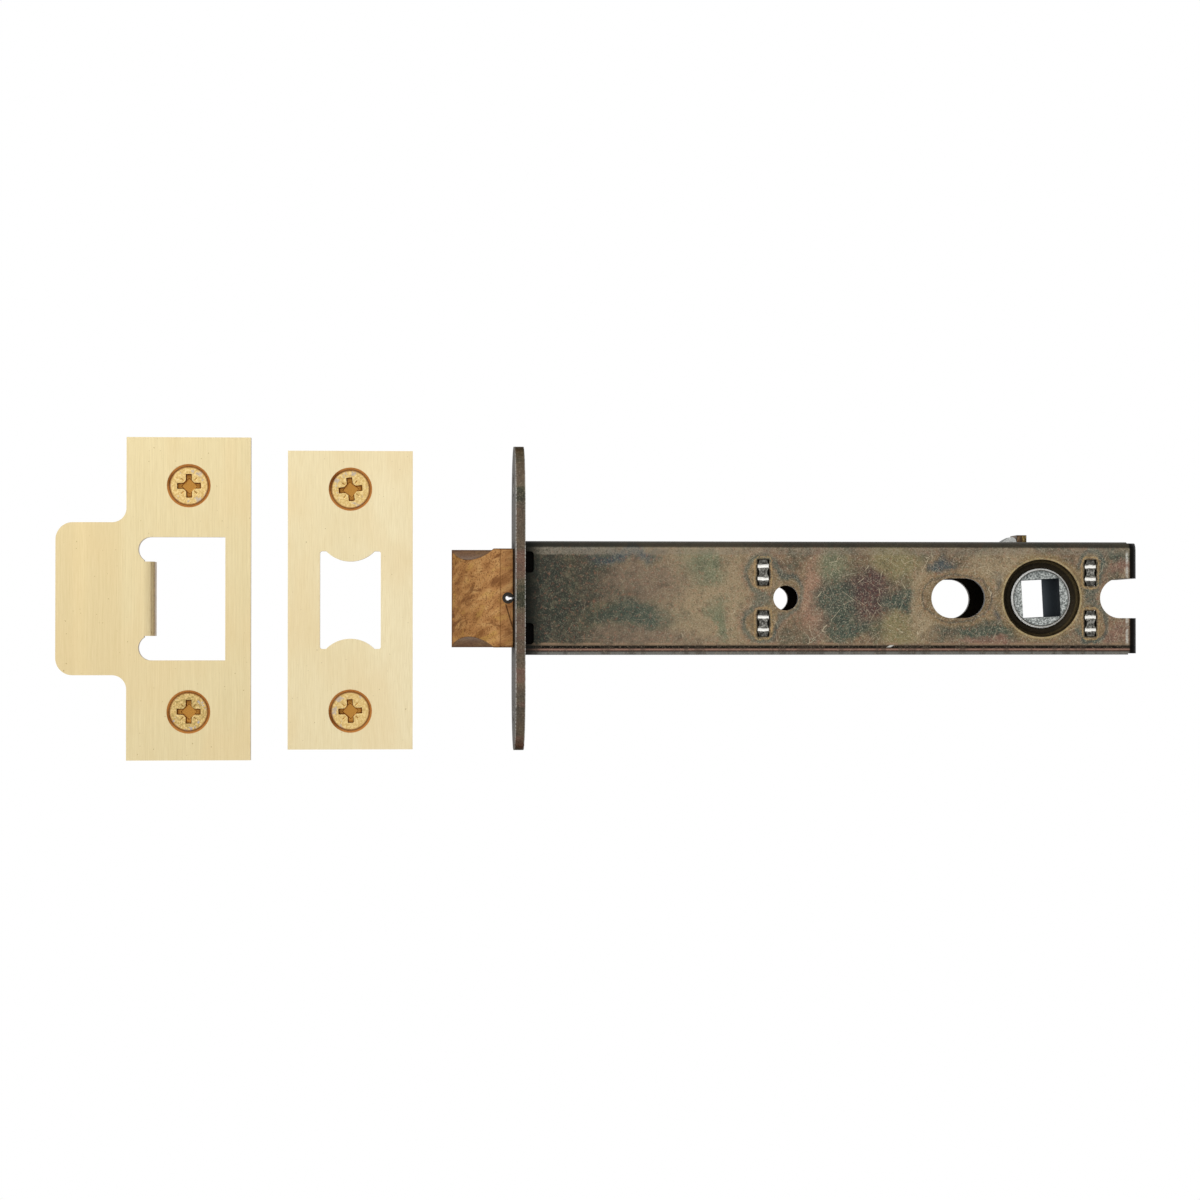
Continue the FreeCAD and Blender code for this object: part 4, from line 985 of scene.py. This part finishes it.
def screws(node, turns):
    """A plate's two screws, in place of their plain solids."""
    low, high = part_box(node)
    head, shank = (high.x - low.x) / 2, 2.0 * MM
    points, faces = [], []
    for (x, z), turn in zip(screw_places(node), turns):
        more, sides = screw_mesh(x, z, low.y, high.y, head, shank, math.radians(turn))
        faces += [tuple(len(points) + i for i in face) for face in sides]
        points += more
    piece = mesh_piece(node + "_threaded", points, faces, SCREW)
    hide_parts(node)
    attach(piece, CASE)


screws("face_plate_screws", (3, 7))
screws("strike_plate_screws", (0, 1))


# Floor, light, background and camera

FLOOR_GLOW = 0.33
STUDIO_TURN = math.radians(18)
STUDIO_LEVELS = [(0.0, 0.95), (0.08, 0.9), (0.3, 0.3), (0.5, 0.12), (0.62, 0.3), (0.75, 1.0)]


def floor():
    """A pale floor, white to the camera and in reflections."""
    paint = Paint("floor", 0.0, 0.9)
    paint.give("Base Color", paint.mix(paint.noise(60.0), tone(240, 240, 239), tone(246, 246, 245)))
    path = paint.node("ShaderNodeLightPath").outputs
    mirrored = paint.most(path["Is Glossy Ray"], path["Is Transmission Ray"])
    seen = paint.most(path["Is Camera Ray"], mirrored)
    paint.give("Emission Color", tone(255, 255, 255))
    paint.give("Emission Strength", paint.times(seen, FLOOR_GLOW))
    level, near, far, side = -0.25, -1.1, 0.56, 1.2
    points = [(-side, near, level), (side, near, level), (side, far, level), (-side, far, level)]
    mesh_piece("floor", points, [(0, 1, 2, 3)], paint)


def lamp(name, place, target, size, power):
    """A square soft light that points at a target."""
    light = bpy.data.lights.new(name, "AREA")
    light.shape = "SQUARE"
    light.size = size
    light.energy = power
    piece = bpy.data.objects.new(name, light)
    bpy.context.scene.collection.objects.link(piece)
    piece.location = place
    piece.rotation_euler = (Vector(target) - Vector(place)).to_track_quat("-Z", "Y").to_euler()


def world():
    """White to the camera and in reflections. The light that it gives is a soft studio, dim at the sides."""
    made = bpy.data.worlds.new("studio")
    bpy.context.scene.world = made
    made.use_nodes = True
    nodes, links = made.node_tree.nodes, made.node_tree.links
    facing = nodes.new("ShaderNodeVectorMath")
    facing.operation = "DOT_PRODUCT"
    links.new(nodes.new("ShaderNodeTexCoord").outputs["Generated"], facing.inputs[0])
    facing.inputs[1].default_value = (math.sin(STUDIO_TURN), math.cos(STUDIO_TURN), 0)
    rise = nodes.new("ShaderNodeMapRange")
    rise.inputs["From Min"].default_value = -1.0
    links.new(facing.outputs["Value"], rise.inputs["Value"])
    studio = nodes.new("ShaderNodeValToRGB")
    links.new(rise.outputs[0], studio.inputs[0])
    set_stops(studio.color_ramp, [(place, (level, level, level, 1)) for place, level in STUDIO_LEVELS])
    path = nodes.new("ShaderNodeLightPath").outputs
    share = path["Is Camera Ray"]
    for ray in ("Is Glossy Ray", "Is Transmission Ray"):
        either = nodes.new("ShaderNodeMath")
        either.operation = "MAXIMUM"
        links.new(share, either.inputs[0])
        links.new(path[ray], either.inputs[1])
        share = either.outputs[0]
    seen = nodes.new("ShaderNodeMix")
    seen.data_type = "RGBA"
    links.new(share, seen.inputs[0])
    links.new(studio.outputs[0], seen.inputs[6])
    seen.inputs[7].default_value = (1, 1, 1, 1)
    background = nodes["Background"]
    links.new(seen.outputs[2], background.inputs["Color"])
    background.inputs["Strength"].default_value = 1.0


def camera():
    """The photograph's view: a long lens, level with the bolt, nearly square to the case."""
    made = bpy.data.cameras.new("camera")
    made.sensor_width = 36.0
    made.lens = 81.06
    made.clip_start = 0.01
    piece = bpy.data.objects.new("camera", made)
    bpy.context.scene.collection.objects.link(piece)
    piece.location = (-16.8 * MM, -545.3 * MM, -7.0 * MM)
    piece.rotation_euler = (math.radians(90.7), 0, math.radians(-3.6))
    bpy.context.scene.camera = piece


floor()
world()
lamp("key", place=(-0.45, -0.9, 0.55), target=(0.02, 0, 0), size=0.8, power=2.6)
camera()
bpy.context.scene.view_settings.view_transform = "Standard"
